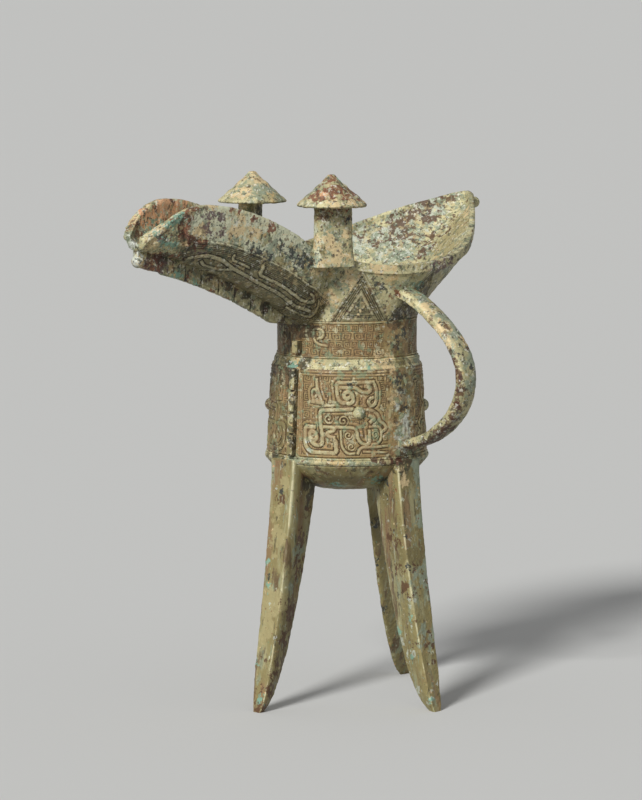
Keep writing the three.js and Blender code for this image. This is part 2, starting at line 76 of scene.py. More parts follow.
# Half of the mouth's rim from the tail's tip to the spout: x, half width, height above the neck
MOUTH_RIM = np.array([
    [73.4, 0, 45.9], [71, 4.5, 44.8], [66, 9, 42.9], [56, 18, 39.2], [44, 27.5, 34.2], [30, 35.5, 28.6],
    [13, 38.5, 24.6], [-4, 35, 22.9], [-18, 28, 23.6], [-30.4, 19.8, 26.6], [-35, 10, 28], [-36, 0, 29],
]) + [0, 0, NECK_TOP_Z]
MOUTH_FLARE, TAIL_FLARE, MOUTH_LEAN, LIP_HEIGHT, LIP_STEP = 1.35, 1.05, 0.03, 3.6, 0.7

# Stations of the spout: x, half width, heights of the underside and of the rim above the neck, and how round
# the section is
SPOUT = np.array([
    [-14, 14, -7, 24.2, 1.3], [-27, 17.5, -2.5, 25.2, 1.2], [-38, 18.6, 2.5, 29.6, 1], [-48, 17.5, 8, 36.2, 0.85],
    [-62, 15.5, 14.3, 42.6, 0.8], [-77, 13.5, 20, 46.9, 0.8], [-91, 11.8, 24.6, 48.4, 0.8],
    [-101, 10.6, 27.4, 46.3, 0.8], [-110, 9, 29.4, 41.5, 0.8], [-116.6, 5.8, 31, 36.8, 0.8],
]) + [0, 0, NECK_TOP_Z, NECK_TOP_Z, 0]
SPOUT_LEAN = 0.07
# Where the flange under it is notched, as shares of the stations
SPOUT_NOTCHES = [0.67, 0.6, 0.53, 0.465, 0.4, 0.34]

# The handle's line: distance from the axis, height
HANDLE = np.array([
    [20, 165], [34, 160.5], [44.5, 154.5], [54.5, 146], [60.3, 137], [61.4, 128], [58.2, 118.7],
    [50.6, 110.7], [40, 105], [22, 101],
])

# Posts: length and thickness of the section, and how far it is turned towards the rim's run
POST_SIZE = (14.5, 6.4)
POST_TURN = 25

# Legs: direction and distance of the outer face and a factor for the depth, at the top and at the sole
LEGS = {
    "leg_spout_side": ((172, 32.6, 1), (176.5, 48.8, 0.8)),
    "leg_handle_side": ((-90, 32.4, 1), (-90, 47.5, 0.96)),
    "leg_tail_side": ((10, 32.4, 1.25), (17, 57, 1)),
}
# The splay grows with this power of the way down
LEG_BEND = 1.4
# Stations of a leg: height, half width of the outer face, depth to the inner edge
LEG_STATIONS = np.array([
    [0, 1.9, 4.6], [4, 3, 8.4], [12, 4, 11.6], [24, 4.7, 13.8], [40, 5.3, 15.4], [62, 5.8, 16.8], [97, 6.6, 19],
])


# Number fields and curves

# Stands for a distance in mm that nothing comes near
FAR = 1e3
# Turns of a round spiral
CURL_TURNS = 1.7


def smooth(low, high, value):
    """0 below low, 1 above high, and an S-shaped rise between."""
    t = np.clip((value - low) / (high - low), 0, 1)
    return t * t * (3 - 2 * t)


def noise(points, size, seed):
    """A smooth random field from -1 to 1: random values on a cube lattice of that size, blended inside each cube."""
    q = points / size + 13.7 * seed
    cell = np.floor(q).astype(int)
    part = q - cell
    part = part * part * (3 - 2 * part)
    total = np.zeros(points.shape[:-1])
    for corner in np.ndindex(2, 2, 2):
        weight = np.prod(np.where(corner, part, 1 - part), axis=-1)
        a, b, c = np.moveaxis((cell + corner) % 32, -1, 0)
        total += weight * LATTICE[a, b, c]
    return total * 2 - 1


def grain(points, size, seed):
    """Three layers of the random field, each half the size and half the strength of the one before."""
    return sum(noise(points, size / 2 ** k, seed + k) / 2 ** k for k in range(3)) / 1.75


def along(stations, share):
    """Reads stations at shares from 0 to 1 of their count, on the Catmull-Rom curve through them."""
    spot = np.clip(np.asarray(share, float), 0, 1) * (len(stations) - 1)
    i = np.minimum(spot.astype(int), len(stations) - 2)
    t = (spot - i)[..., None]
    p0, p1, p2, p3 = (stations[np.clip(i + k, 0, len(stations) - 1)] for k in (-1, 0, 1, 2))
    return 0.5 * (
        2 * p1 + (p2 - p0) * t + (2 * p0 - 5 * p1 + 4 * p2 - p3) * t ** 2 + (3 * p1 - p0 - 3 * p2 + p3) * t ** 3
    )


def distance(u, v, path):
    """The distance of each point (u, v) from a path, its corners first cut off at 0.8 mm and then at 0.3 mm. Past
    the end of a straight piece it is the longer of the ways on and aside, which gives a band square ends."""
    path = np.array(path, float)
    for cut in (0.8, 0.3):
        way = np.diff(path, axis=0)
        bit = way * np.minimum(1 / 3, cut / np.linalg.norm(way, axis=1, keepdims=True))
        middle = np.stack([path[:-1] + bit, path[1:] - bit], axis=1).reshape(-1, 2)[1:-1]
        path = np.concatenate([path[:1], middle, path[-1:]])
    best = np.full(u.shape, FAR)
    for a, b in zip(path[:-1], path[1:]):
        long = math.hypot(*(b - a))
        du, dv = (b - a) / long
        on = (u - a[0]) * du + (v - a[1]) * dv
        aside = np.abs((v - a[1]) * du - (u - a[0]) * dv)
        best = np.minimum(best, np.maximum(aside, np.maximum(-on, on - long)))
    return best


def curl(u, v, centre, radius, hand):
    """The distance from a round spiral, and the radius. The first is how far the radius, less its share of a turn,
    is from the middle of a pitch."""
    du, dv = u - centre[0], (v - centre[1]) * hand
    r = np.hypot(du, dv)
    pitch = radius / CURL_TURNS
    phase = (r / pitch - np.arctan2(dv, du) / (2 * np.pi)) % 1
    return np.where(r < radius, np.abs(phase - 0.5) * pitch, FAR), r


# Ornament, as heights in millimetres above the sunken ground

LINE_RISE, BAND_RISE, GROUND_RISE = 0.36, 0.5, 0.2
# How deep the ground lies under each wall's face, and the share of the heights that the neck and spout get
BELLY_SINK, NECK_SINK, SPOUT_SINK, FLAT_SHARE = 0.48, 0.42, 0.38, 0.9
# The finest ornament is too fine for the meshes: each point only carries where it lies, and the material draws square
# spirals in cells, at cell_a by cell_b where carved is 1, nested lines, by phase, where lined is 1, and the bands'
# outlines, by the distance edge in mm
FINE = ("cell_a", "cell_b", "carved", "phase", "lined", "edge")

# Bands of the half mask that were worked over, in mm: distance round the belly from the flange and height
# above the ridge, then width
DRAWN_BANDS = [
    ([(20.3, 27.3), (26.6, 27.3), (28.3, 25.6), (31.9, 25.3), (32.6, 27), (30.3, 27.6)], 1.25),
    ([(9.5, 11.9), (5.7, 12), (5.7, 5), (8, 2.3), (18.7, 2.1), (18.4, 6.8), (17, 7.2)], 1.45),
    ([(40.4, 29.8), (47.6, 29.6), (47.4, 25.2), (42.2, 24.8), (41.3, 27), (45, 27.4)], 1.2),
    ([(41.3, 20.8), (47.6, 20.8), (47.4, 15.6), (44, 14.9), (43.4, 17.8), (45.6, 18.4)], 1.2),
    ([(41.3, 12.3), (47.6, 12.7), (47.4, 6.8), (43.1, 5.7), (42.4, 9.4), (45.4, 10.1)], 1.2),
]
# The other bands, as columns and rows of points picked on an enlargement of the photograph, then width in mm
PICKED_BANDS = [
    ([(255, 170), (265, 270), (292, 335), (312, 400)], 1.3),
    ([(315, 405), (222, 392)], 1.5),
    ([(222, 375), (203, 310), (218, 262), (255, 275), (262, 320), (240, 345)], 0.9),
    ([(870, 187), (470, 190), (478, 320), (510, 398), (640, 412), (657, 350), (625, 290), (570, 285),
      (548, 325), (575, 362), (608, 345)], 1.35),
    ([(870, 187), (905, 250), (902, 395), (862, 443), (818, 420), (822, 370), (862, 350)], 1.2),
    ([(640, 468), (298, 482), (306, 620), (328, 760), (326, 845), (245, 850), (198, 790), (190, 712),
      (232, 702), (268, 750), (262, 800), (222, 795)], 1.35),
    ([(350, 655), (455, 660), (450, 705), (375, 708), (378, 750), (448, 765)], 1.2),
    ([(470, 655), (655, 660), (690, 690), (705, 790), (760, 842), (828, 832), (822, 700)], 1.15),
    ([(830, 655), (935, 655), (952, 745), (925, 830), (850, 838)], 0.9),
    ([(690, 470), (850, 480), (925, 540), (930, 600), (990, 640), (1000, 690), (955, 705)], 1.15),
    ([(700, 930), (725, 872), (1010, 862)], 1.0),
    ([(765, 915), (1000, 930)], 0.8),
    ([(520, 700), (530, 860), (590, 935), (660, 930)], 0.9),
    ([(830, 540), (890, 565), (840, 605)], 1.3),
]
# That enlargement: the photograph's column at its left edge and its scale, then its own row of the ridge and rows
# per mm
ENLARGED_LEFT, ENLARGED_SCALE, RIDGE_ROW, ROWS_PER_MM = 290, 10.453, 985, 27.2
# The belly: its middle column and half width on the photograph, the direction of that column in degrees past the
# flange, and its radius at half height
BELLY_COLUMN, BELLY_COLUMNS, BELLY_FACING, BELLY_MIDDLE_R = 346, 80.6, 42, 31
# Round spirals of the half mask: place, radius, hand
MASK_CURLS = [
    ((15.5, 15.3), 2.3, 1), ((21.3, 14.5), 2.3, -1), ((23.3, 9), 1.9, 1), ((34, 9), 1.8, -1),
    ((24.4, 4.6), 1.8, 1), ((33.2, 1.9), 1.2, 1), ((38.2, 7.6), 1.5, -1),
]


def band_relief(u, v, bands, curls=(), rise=BAND_RISE, echo=0.0):
    """Raised bands with a fine sunken line on each side, and round that a lower ridge that echoes their outline.
    Returns the height, where the ground is covered, and the distance from the nearest band's edge."""
    near = np.full(u.shape, FAR)
    for path, width in bands:
        near = np.minimum(near, distance(u, v, path) - 0.56 * width)
    height = rise * smooth(0.1, -0.16, near)
    cover = smooth(0.52, 0.3, near)
    if echo:
        height = np.maximum(height, echo * smooth(0.36, 0.52, near) * smooth(1.3, 1.14, near))
        cover = smooth(1.62, 1.5, near)
    for centre, radius, hand in curls:
        gap, r = curl(u, v, centre, radius, hand)
        height = np.maximum(height, 0.52 * smooth(0.42, 0.2, gap) * smooth(radius, radius - 0.3, r))
        cover = np.maximum(cover, smooth(radius + 0.3, radius + 0.1, r))
        near = np.minimum(near, np.where(r < radius, gap - 0.34, FAR))
    return height, cover, np.clip(near, -1, 1)


def on_belly(column, row):
    """The distance round the belly and the height under a point of the enlargement, to a tenth of a mm. The share of
    the half width is the sine of the angle from the middle column."""
    share = (ENLARGED_LEFT + column / ENLARGED_SCALE - BELLY_COLUMN) / BELLY_COLUMNS
    angle = math.radians(BELLY_FACING + math.degrees(math.asin(share)))
    return round(BELLY_MIDDLE_R * angle, 1), round((RIDGE_ROW - row) / ROWS_PER_MM, 1)


def mask_map():
    """The half mask on a fine sheet, distance round the belly by height above the ridge: its heights, where its
    ground is free for small spirals, and the distance from its bands' edges."""
    u, v = np.meshgrid(np.arange(0, 50, MAP_STEP), np.arange(-0.5, 36, MAP_STEP), indexing="ij")
    bands = DRAWN_BANDS + [([on_belly(*point) for point in path], width) for path, width in PICKED_BANDS]
    height, cover, near = band_relief(u, v, bands, MASK_CURLS, echo=0.28)
    height = np.maximum(height, GROUND_RISE * (1 - cover))
    # Upright border lines beside the flange, then level ones along the foot and the top
    top = BELLY_TOP_Z - BELLY_Z
    beside, foot, head = u < 4.2, (v < 1.15) & (u > 2.4), (v > top - 2.6) & (u > 2.4)
    for lines, value, places in ((beside, u, (1.9, 2.75, 3.6)), (foot, v, (0.7,)), (head, v, (top - 2.1, top - 0.9))):
        gap = np.min([np.abs(value - place) for place in places], axis=0)
        height = np.where(lines, LINE_RISE * smooth(0.38, 0.18, gap), height)
    margin = beside | foot | head
    return height, (1 - cover) * ~margin, np.where(margin, -1, near)


MAP_STEP = 0.1
MASK, MASK_GROUND, MASK_EDGE = mask_map()


def sample(sheet, u, v):
    """Reads a sheet of heights between its points, by the four nearest."""
    a = np.clip(u / MAP_STEP, 0, sheet.shape[0] - 1.001)
    b = np.clip((v + 0.5) / MAP_STEP, 0, sheet.shape[1] - 1.001)
    i, j = a.astype(int), b.astype(int)
    p, q = a - i, b - j
    return ((1 - p) * (1 - q) * sheet[i, j] + p * (1 - q) * sheet[i + 1, j]
            + (1 - p) * q * sheet[i, j + 1] + p * q * sheet[i + 1, j + 1])


def belly_relief(angle, z):
    """The half mask, mirrored about the spout side and the tail side: its heights and its fine ornament."""
    u = np.abs((angle + np.pi / 2) % np.pi - np.pi / 2) * (BELLY_LOW_R - 0.6)
    v = z - BELLY_Z
    fine = {
        "cell_a": (u - 4.2) / 3.9 + 0 * v, "cell_b": (v - 0.6) / 3.55 + 0 * u,
        "carved": sample(MASK_GROUND, u, v), "edge": sample(MASK_EDGE, u, v),
    }
    return sample(MASK, u, v), fine


# The neck's one bold scroll: distance round the neck from the flange and height above the shoulder, then width
NECK_HOOKS = [
    ([(12.2, 5.1), (8.4, 5.7), (7, 7), (6.3, 11.4), (9.6, 11.6), (11, 10.2), (10.6, 8.1), (8.5, 7.8)], 0.95),
]
# Half of the scroll in a blade: distance from its middle line and height above the neck
BLADE_HOOKS = [
    ([(0, 11), (0, 2.6)], 0.7),
    ([(0, 7.6), (1.7, 7.4), (1.7, 5.6), (0.9, 5.4)], 0.6),
    ([(0, 2.8), (5.8, 2.8), (5.8, 5), (4.2, 5.2)], 0.7),
]


def neck_relief(angle, z):
    """The neck's band of small spirals with hooks, under three upright blades on each side that leave plain metal
    between them. Returns the height, where ornament is, and the fine ornament."""
    off = np.abs((angle + np.pi / 2) % np.pi - np.pi / 2)
    u, v = off * NECK_R, z - SHOULDER_TOP_Z
    top = NECK_TOP_Z - SHOULDER_TOP_Z
    height, cover, near = band_relief(u, v, NECK_HOOKS)
    edge = np.maximum(smooth(0.45, 0.2, np.abs(v - 0.55)), smooth(0.5, 0.25, np.abs(v - top + 0.5)))
    within = (v > 0.9) & (v < top - 0.9)
    height = np.maximum(BAND_RISE * edge, np.maximum(height, GROUND_RISE * (1 - cover)) * within)
    # Blades: a plain edge, nested lines along both sides, a plain inner blade and a mirrored scroll in it
    sector = math.radians(51)
    turn = np.abs(angle) % sector - sector / 2
    up = z - NECK_TOP_Z
    rise = up / (BLADE_TIP_Z - NECK_TOP_Z)
    half = sector / 2 * NECK_R
    a = np.abs(turn) * NECK_R * (1 + 0.25 * np.clip(rise, 0, 1))
    slope = (BLADE_TIP_Z - NECK_TOP_Z) / half
    inside = (half * (1 - rise) - a) * slope / math.hypot(slope, 1)
    brim = 0.5 * smooth(0.7, 0.4, np.abs(inside - 0.35))
    core = 0.5 * smooth(0.7, 0.4, np.abs(inside - 4.7)) * (up > 2.4)
    scroll, filled, beside = band_relief(a, up, BLADE_HOOKS)
    base = LINE_RISE * smooth(0.55, 0.3, np.abs(up - 0.9)) * (inside > 0.5)
    blade = np.maximum.reduce([brim, core, 0.8 * scroll * (inside > 5.2), base, GROUND_RISE + 0 * rise])
    on_flare = up > 0
    field = np.where(on_flare, smooth(-0.35, -0.05, inside) * (np.abs(angle) < 3 * sector), 1.0)
    # Four rows of spirals, wide ones and narrow ones in turn
    rows_up = (v - 0.9) / ((top - 1.9) / 4)
    wide = np.where(np.floor(rows_up) % 2 == 0, 4.4, 3.05)
    free = np.where(on_flare, (inside > 5.3) & (up > 1.4), within & (height < BAND_RISE / 2))
    fine = {
        "cell_a": np.where(on_flare, (a - 0.2) / 2.6, (u - 0.4) / wide),
        "cell_b": np.where(on_flare, (up - 1) / 2.6, rows_up),
        "carved": free * (1 - np.where(on_flare, filled, cover)),
        "edge": np.where(on_flare, np.where(inside > 5.3, beside, -1), np.where(within, near, -1)),
        "phase": (inside - 0.95) / 0.8,
        "lined": 1.0 * (on_flare & (field > 0.5) & (inside > 0.95) & (inside < 4.15)),
    }
    return np.where(on_flare, blade * field, height), field, fine


# Stains of corrosion, and one of painted shade: colour, the size of its grains in mm, how much of the metal it hides,
# and where it lies, as x, y, z and reach in mm from the vessel's axis

STAINS = {
    "olive": ("#80754b", 8.0, 0.95, [
        (-34, 0, 126, 4), (-34, 0, 117, 4), (-34, 0, 108, 4), (-34, 0, 101, 4), (-29, 10, 128, 10),
        (-29, 10, 116, 10), (-29, 11, 104, 10), (-28, 14, 120, 12), (-45, -17, 178, 8), (-24, 19, 110, 12),
        (-20, -12, 87, 8), (0, -24, 88, 9), (4, -33, 75, 9), (3, -34, 60, 9), (20, 0, 65, 9), (-28, -10, 156, 6),
        (0, -28, 138, 6), (4, -28, 128, 6), (12, -28, 150, 8), (0, -31, 168, 4),
    ]),
    # Painted shade: a dark brown laid in crevices and under overhangs, on the flanges' shaded sides, under the spout,
    # its tip, the mouth and the shoulder's step, round the far post, at the handle's roots and underside, and where
    # the legs meet the bowl
    "painted_shade": ("#433c29", 6.0, 0.9, [
        (-34, -1, 121, 2.4), (-34, -1, 113, 2.4), (-34, -1, 104.5, 2.4), (-34, -1, 98, 2.4), (-36, 8, 192, 6),
        (-30, 20, 188, 9), (-3, -54, 108, 5), (-3, -48, 103, 6), (-3, -42, 100, 6), (-2, -36, 98, 5),
        (-32, 4, 95, 3), (-9, -31, 97, 3), (-108, -1, 180, 5), (-101, -2, 179, 5), (38, -12, 160, 8),
        (-27, 9, 145, 9), (-28, -2, 149, 6), (-26, 18, 148, 9), (-33, 0, 131, 4), (-28, -4, 134, 4),
        (-2, -27, 153, 5), (4, -27, 156, 7), (6, -30, 101, 6), (-3, -32, 97, 5), (10, -24, 88, 7),
        (-29, 12, 131, 6), (-33, 14, 186, 8), (-30, 17, 190, 8), (-30, 5, 131, 6), (-22, 18, 130, 7),
        (-29, 11, 99, 4), (-22, 0, 90, 7), (0, -28, 83, 5), (14, 0, 86, 8), (19, 0, 68, 4), (-33, 18, 183, 6),
        (-37, -21, 194, 4), (-2, -50, 105, 5), (-1, -46, 103, 6), (0, -41, 101, 6), (24, -28, 162, 7),
        (-104, 0, 179, 7), (-96, -5, 178, 6), (-2, -49, 106, 4), (0, -44, 103, 5), (1, -39, 101, 5),
        (-1, -34, 100, 4), (-38, 0, 152, 4), (-48, -1, 158, 3), (-58, -1, 163, 3), (-68, -1, 168, 3),
        (-78, -1, 172, 3), (-20, 1, 86, 6), (-20, -1, 78, 4),
    ]),
    "celadon": ("#d8dabb", 5.0, 0.95, [
        (-92, 9, 193, 8), (-104, 7, 190, 7), (-82, 10, 197, 6), (-44, -18, 182, 9), (-52, -17, 186, 10),
        (-62, -15, 189, 10), (-74, -13, 192, 10), (-84, -12, 192, 9), (-93, -11, 192, 7), (-68, -14, 182, 6),
        (-38, -19, 178, 5),
    ]),
    "sage": ("#929c85", 4.5, 0.78, [
        (46, 15, 180, 18), (60, 8, 190, 12), (36, 25, 178, 10), (-46, -17, 179, 6), (-58, -15, 182, 5),
        (-76, -13, 186, 5), (-40, -18, 176, 6), (-95, -11, 190, 3), (0, -40, 160, 5), (2, -48, 153, 5),
        (2, -54, 147, 6), (3, -58, 140, 6), (4, -44, 157, 5), (6, -34, 90, 9), (5, -34, 70, 9), (5, -38, 50, 9),
        (3, -42, 30, 8), (-1, -55, 144, 7), (1, -60, 130, 6), (-33, 14, 200, 8), (-2, -30, 108, 8),
        (-1, -29, 120, 6), (-28, -1, 60, 5), (-31, -1, 47, 4),
    ]),
    "straw": ("#aca072", 9.0, 0.9, [
        (58, -6, 184, 8), (64, -8, 191, 7), (50, -9, 177, 9), (52, -16, 184, 8), (44, -15, 175, 7),
        (8, -26, 125, 5), (8, -27, 110, 6), (9, -26, 142, 5), (-33, 3, 88, 3), (-32, 0, 140, 4), (-36, 5, 75, 6),
        (-36, 4, 66, 6), (-41, 4, 42, 7), (-43, 4, 30, 7),
    ]),
    "cream": ("#e0c898", 3.4, 0.85, [
        (-100, 8, 195, 2.4), (-107, 7, 192, 3), (-89, 9, 192, 3), (56, -18, 186, 3), (64, -6, 190, 3),
        (-33, -22, 181, 8), (-36, -21, 174, 6), (-12, -31, 171, 4), (-15, -30, 172, 4), (-30, 21, 205, 9),
        (-8, -27, 134, 6), (-21, -24, 153, 4), (-28, -15, 160, 4), (-22, -23, 168, 4), (-5, -60, 146, 5),
        (-4, -52, 149, 5), (-3, -44, 156, 4), (-76, -13, 190, 6), (-68, -14, 188, 4), (-88, -12, 199, 3),
        (-94, -11, 189, 4), (-40, -29, 197, 4), (-33, -32, 197, 4), (-26, -30, 198, 4), (-113, -8, 189, 5),
        (-112, -8, 191, 4), (-100, 9, 198, 5), (-110, 8, 192, 4), (-4, -28, 112, 4), (-4, -28, 122, 4),
        (-3, -32, 93, 3), (-3, -32, 89, 3), (32, 33, 182, 5), (-9, -32, 171, 3), (-98, 8, 194, 3),
        (-104, 8, 190, 3), (-109, 6, 188, 4), (62, -10, 188, 3), (56, -14, 183, 3), (-30, 21, 202, 7),
        (-40, 18, 198, 5),
    ]),
    "chalk": ("#c3c8b5", 2.4, 0.6, [
        (46, 15, 181, 15), (60, 9, 190, 10), (36, 25, 178, 9), (-1, -30, 107, 7), (1, -29, 113, 5),
        (-2, -30, 102, 5), (-117, 2, 185, 4), (-118, 0, 179, 4), (-1, -29, 28, 3), (-1, -30, 26, 3),
        (-4, -38, 34, 3), (-5, -38, 43, 3), (-1, -28, 29, 2.2), (-1, -31, 25, 2.2), (-2, -34, 21, 2),
        (-4, -38, 22, 3), (-3, -46, 5, 3), (-2, -39, 7, 3), (-3, -31, 70, 3), (-5, -53, 145, 3), (-5, -60, 115, 5),
        (-4, -50, 108, 4), (-113, -7, 190, 4), (-33, 7, 86, 1.8), (-3, -36, 66, 2), (0, -29, 124, 5),
        (4, -29, 131, 4), (1, -30, 110, 6), (-40, 5, 41, 2),
    ]),
    "frost": ("#d3d6ca", 2.2, 0.88, [
        (0, -30, 107, 5), (-1, -31, 103, 4), (0, -30, 112, 3), (-4, -30, 118, 2), (-117, 2, 185, 4),
        (-118, 0, 181, 4), (-116, 0, 178, 4), (-5, -30, 105, 2), (-12, -29, 107, 1.6), (-28, -29, 202, 3),
        (-26, -28, 199, 3), (-24, -28, 197, 2.4), (-30.5, -7.5, 105, 1.6), (-30.5, -8, 101, 1.6),
        (-29, -12, 122, 1.6),
    ]),
    # Purple corrosion; the four places at y = -1 under the spout's tip are partly purple and partly painted shade of
    # that underside
    "plum": ("#6a5354", 2.0, 0.72, [
        (-104, 8, 196, 3), (-111, -8, 189, 2), (-112, -1, 177, 3), (-107, -1, 175, 3), (-102, -1, 174.5, 2.4),
        (-82, -12, 191, 2.4), (-84, -12, 194.5, 2.4), (-87, -12, 195.5, 2.6), (-90, -12, 194, 2.6),
        (-91, -11, 190.5, 2.4), (-89, -11, 187.5, 2.2), (-86, -11, 186.5, 2), (-83, -12, 188, 2), (7, -38, 172, 3),
        (12, -38, 172, 4), (17, -38, 173, 4), (-1, -34, 161.5, 2), (-104, -1, 176, 5), (-109, 7, 192, 2),
        (-110, -7, 187, 3), (-27, -25, 198, 4), (-88, -11, 180, 3), (-92, -9, 180, 3),
    ]),
    # Brown crust; along the handle's lower underside, from (-5, -55, 139) down to (0, -35, 101), it is partly brown
    # crust and partly painted shade
    "brown": ("#5c3d27", 2.2, 0.72, [
        (2, -43, 158, 2), (-2, -53.5, 150, 2), (2, -60.5, 141.5, 2), (-4.6, -47, 153, 1.6), (60, 12, 191, 6),
        (56, 14, 188, 7), (50, 16, 183, 8), (46, 16, 179, 7), (58, 8, 186, 6), (50, 9, 179, 6), (54, 3, 180, 4),
        (58, 1, 184, 3), (50, 3, 176, 3), (62, 0, 188, 3), (46, 2, 172, 3), (52, 0, 178, 2.4), (60, 3, 187, 2.4),
        (68, 5, 194, 4), (40, 20, 177, 4), (37, 26, 181, 4), (-37, -20, 194, 5), (-29, -25, 195, 5),
        (-5, -55, 139, 4), (-5, -58, 135, 4), (-5, -60, 131, 4), (-5, -61, 126, 5), (-5, -61, 120, 4),
        (-4, -58, 115, 4), (-3, -54, 110, 4), (-2, -50, 107, 5), (0, -45, 104, 6), (1, -40, 102, 6),
        (0, -35, 101, 5), (-4, -35, 47, 4), (-2, -32, 55, 5), (-3, -28, 66, 5), (-25, -1, 66, 6), (-27, -1, 55, 6),
        (-32, 0, 38, 7), (-36, 0, 27, 5), (-41, 0, 17, 5), (-45, 1, 8, 4), (-22, -1, 77, 5), (0, 38, 165, 9),
        (-20, 22, 120, 9), (24, 18, 110, 9), (-34, 4, 82, 3), (1, -38, 26, 6), (2, -40, 18, 5), (-47, 2, 2, 4),
        (-4, -30, 98, 4),
    ]),
    "rust": ("#7f4a32", 1.7, 0.8, [
        (-106, -9.5, 194, 1.8), (-101, -10.5, 197, 1.6), (-112, -8.5, 187.5, 2), (-92, 9, 192, 2.2),
        (-86, 10, 198, 2.6), (-109, -9, 191, 2), (-99, -11, 197, 2.4), (-110, -1, 176.5, 4), (-37, -25, 202, 7),
        (-33, -28, 200, 6), (-28, -28, 201, 6), (-34, -22, 205, 6), (-41, -22, 199, 5), (-24, -29, 199, 5),
        (-97, -11, 197.5, 2.4), (-99.5, -11, 195, 2.6), (-101.5, -10, 191, 3), (-101, -10, 188, 3),
        (-98, -10, 185.5, 3), (-94, -10, 184, 3), (-90, -10, 184, 2), (-98, 9, 197, 2.2), (-106, 8, 192, 2),
        (-68, -15, 193, 2.4), (-60, -16, 189, 3), (-108, -1, 178, 5), (-100, -4, 178, 4), (-5, -31, 162, 3),
        (-91, -1, 171, 2), (-85, -1, 168, 2), (-77, -1, 165, 2), (-69, -1, 161, 2), (-61, -1, 157, 2),
        (10, 36, 170, 6), (-110, 6, 190, 4), (-79, -13, 196, 2), (-75, -13, 195.5, 2), (-32, -27, 204, 5),
    ]),
    "orange": ("#ebb183", 2.2, 0.84, [
        (-88, 9.6, 196, 5), (-84, 10, 197, 5), (-79, 11, 197, 4), (-92, 9, 195, 5), (-98, 8, 192, 4),
        (-94, 9, 196, 5), (-91, 9, 197, 4), (-103, 8, 192, 4), (-99, 8, 190, 4), (-40, -24, 201, 1.6),
        (-2, -59, 136, 1.6), (5, -28, 121, 1.6), (-97, 9, 192, 4), (-105, 8, 195, 3),
    ]),
    "teal": ("#83ad97", 1.5, 0.78, [
        (-109, -9, 191.5, 2.4), (-113, -7.5, 189, 2), (-94, 9, 190, 3), (-98, 8, 190, 3), (-101, 7, 189, 4),
        (-104, -10, 195, 3.2), (37, -12, 164, 3), (3, -37, 163.5, 3), (-107, -9, 192, 2.6), (-105, -10, 194, 2.4),
        (-102, -10, 196, 2), (-107, -8, 185, 3.4), (-104, -8, 184, 3), (-110, -7, 188, 2.4), (-104, 7, 187, 3),
        (-100, 7, 188, 3), (1, -33, 164.5, 2.2), (5, -33, 164, 2.4), (-28, 2, 133.5, 3), (-31, -24, 207, 2.4),
        (-37, 8, 57, 1.6), (-38, 6, 48, 1.8), (-39, 6, 45, 1.4), (-44, 7, 18, 1.6), (-47, 2, 5, 2.4),
        (-89, -12, 182, 3), (-96, -1, 172, 4), (-86, -1, 169, 3), (-15, -24, 133.5, 2), (-9, -24, 88, 5),
        (-18, -11, 86, 4), (-3, -46, 5, 2), (-1, -29, 30, 2), (30, 21, 150, 6), (-4, -38, 36, 2), (-3, -37, 20, 2),
    ]),
    "umber": ("#553425", 1.2, 1.05, [
        (-97, -10, 198, 1.3), (-99, -10, 196.5, 1.2), (-100.5, -10.6, 195, 1.3), (-102, -10.4, 193, 1.3),
        (-102.7, -10.2, 191.5, 1.2), (-102.4, -10, 190, 1.4), (-101.8, -9.8, 188.5, 1.8), (-100, -9.5, 187, 2.2),
        (-97.5, -9.6, 186, 2.2), (-94.9, -9.8, 185.6, 1.8), (-106, -1, 180, 3), (-111, -1, 178.5, 2.4),
        (-115.3, -5, 183.4, 1.1), (-113.5, -6.6, 184.6, 1.1), (-111, -8.4, 186.6, 1.2), (-108.5, -9, 188, 1.2),
        (-106, -9.2, 187.6, 1.4), (-103.9, -9.3, 187.1, 1.3), (-89, -1.3, 173, 1.5), (-78, -1.3, 170.6, 1.2),
        (-71.7, -1.2, 167.4, 1.4), (-64, -1.2, 164.8, 1.1), (-55.3, -1.3, 160, 1.4), (-47.5, -1.3, 156.4, 1.1),
        (-3.3, -36, 101, 2.2), (-3.3, -39.9, 102.4, 2.4), (-4, -44.5, 104.4, 2.4), (-4, -48, 106, 2.4),
        (-3.8, -51.4, 108, 2.4), (-3.6, -54.2, 110.4, 2.2), (-3.9, -57.5, 114.5, 1.8), (-4.1, -60.6, 120.7, 1.7),
        (-4.6, -62, 126.6, 1.7), (-4.7, -61.6, 131.4, 1.6), (-4.3, -52.6, 145, 1.2), (-4.3, -54, 142.3, 1.2),
        (-4.5, -56.5, 141.5, 1.3), (-4.5, -58.5, 137.5, 1.5), (-4.5, -59.5, 134.6, 1.5), (59.4, -4.7, 184.2, 1),
        (57.5, -3.6, 182, 1), (55.8, -2.6, 180.2, 1), (53.8, -1.6, 178.3, 1), (51.8, -0.7, 176.4, 1),
        (50, 0, 174.8, 1), (61, -1, 187, 1), (58, 0, 184, 0.9), (55, 2, 181, 0.9), (46, -26, 184.6, 1),
        (41.7, -28.6, 183.3, 1.1), (37, -30.6, 181.8, 1.1), (32.9, -32.4, 180.4, 1.1), (28, -34.6, 178.6, 1),
        (22.3, -36.4, 176.9, 0.9), (-12, -29.6, 97, 1.8), (-8.5, -30.8, 96.8, 1.8), (-5, -31.6, 96.8, 1.8),
        (-15, -28, 98, 1.4), (-3.4, -34.5, 84, 0.9), (-3.6, -35, 80, 0.8), (-4, -35.4, 75, 0.9),
    ]),
    "ink": ("#2b3335", 1.6, 0.74, [
        (-30, 20, 191, 7), (-2, -40.5, 159.6, 1.5), (1, -46, 156, 1.5), (-3, -51, 152, 1.5), (2, -55, 148.5, 1.6),
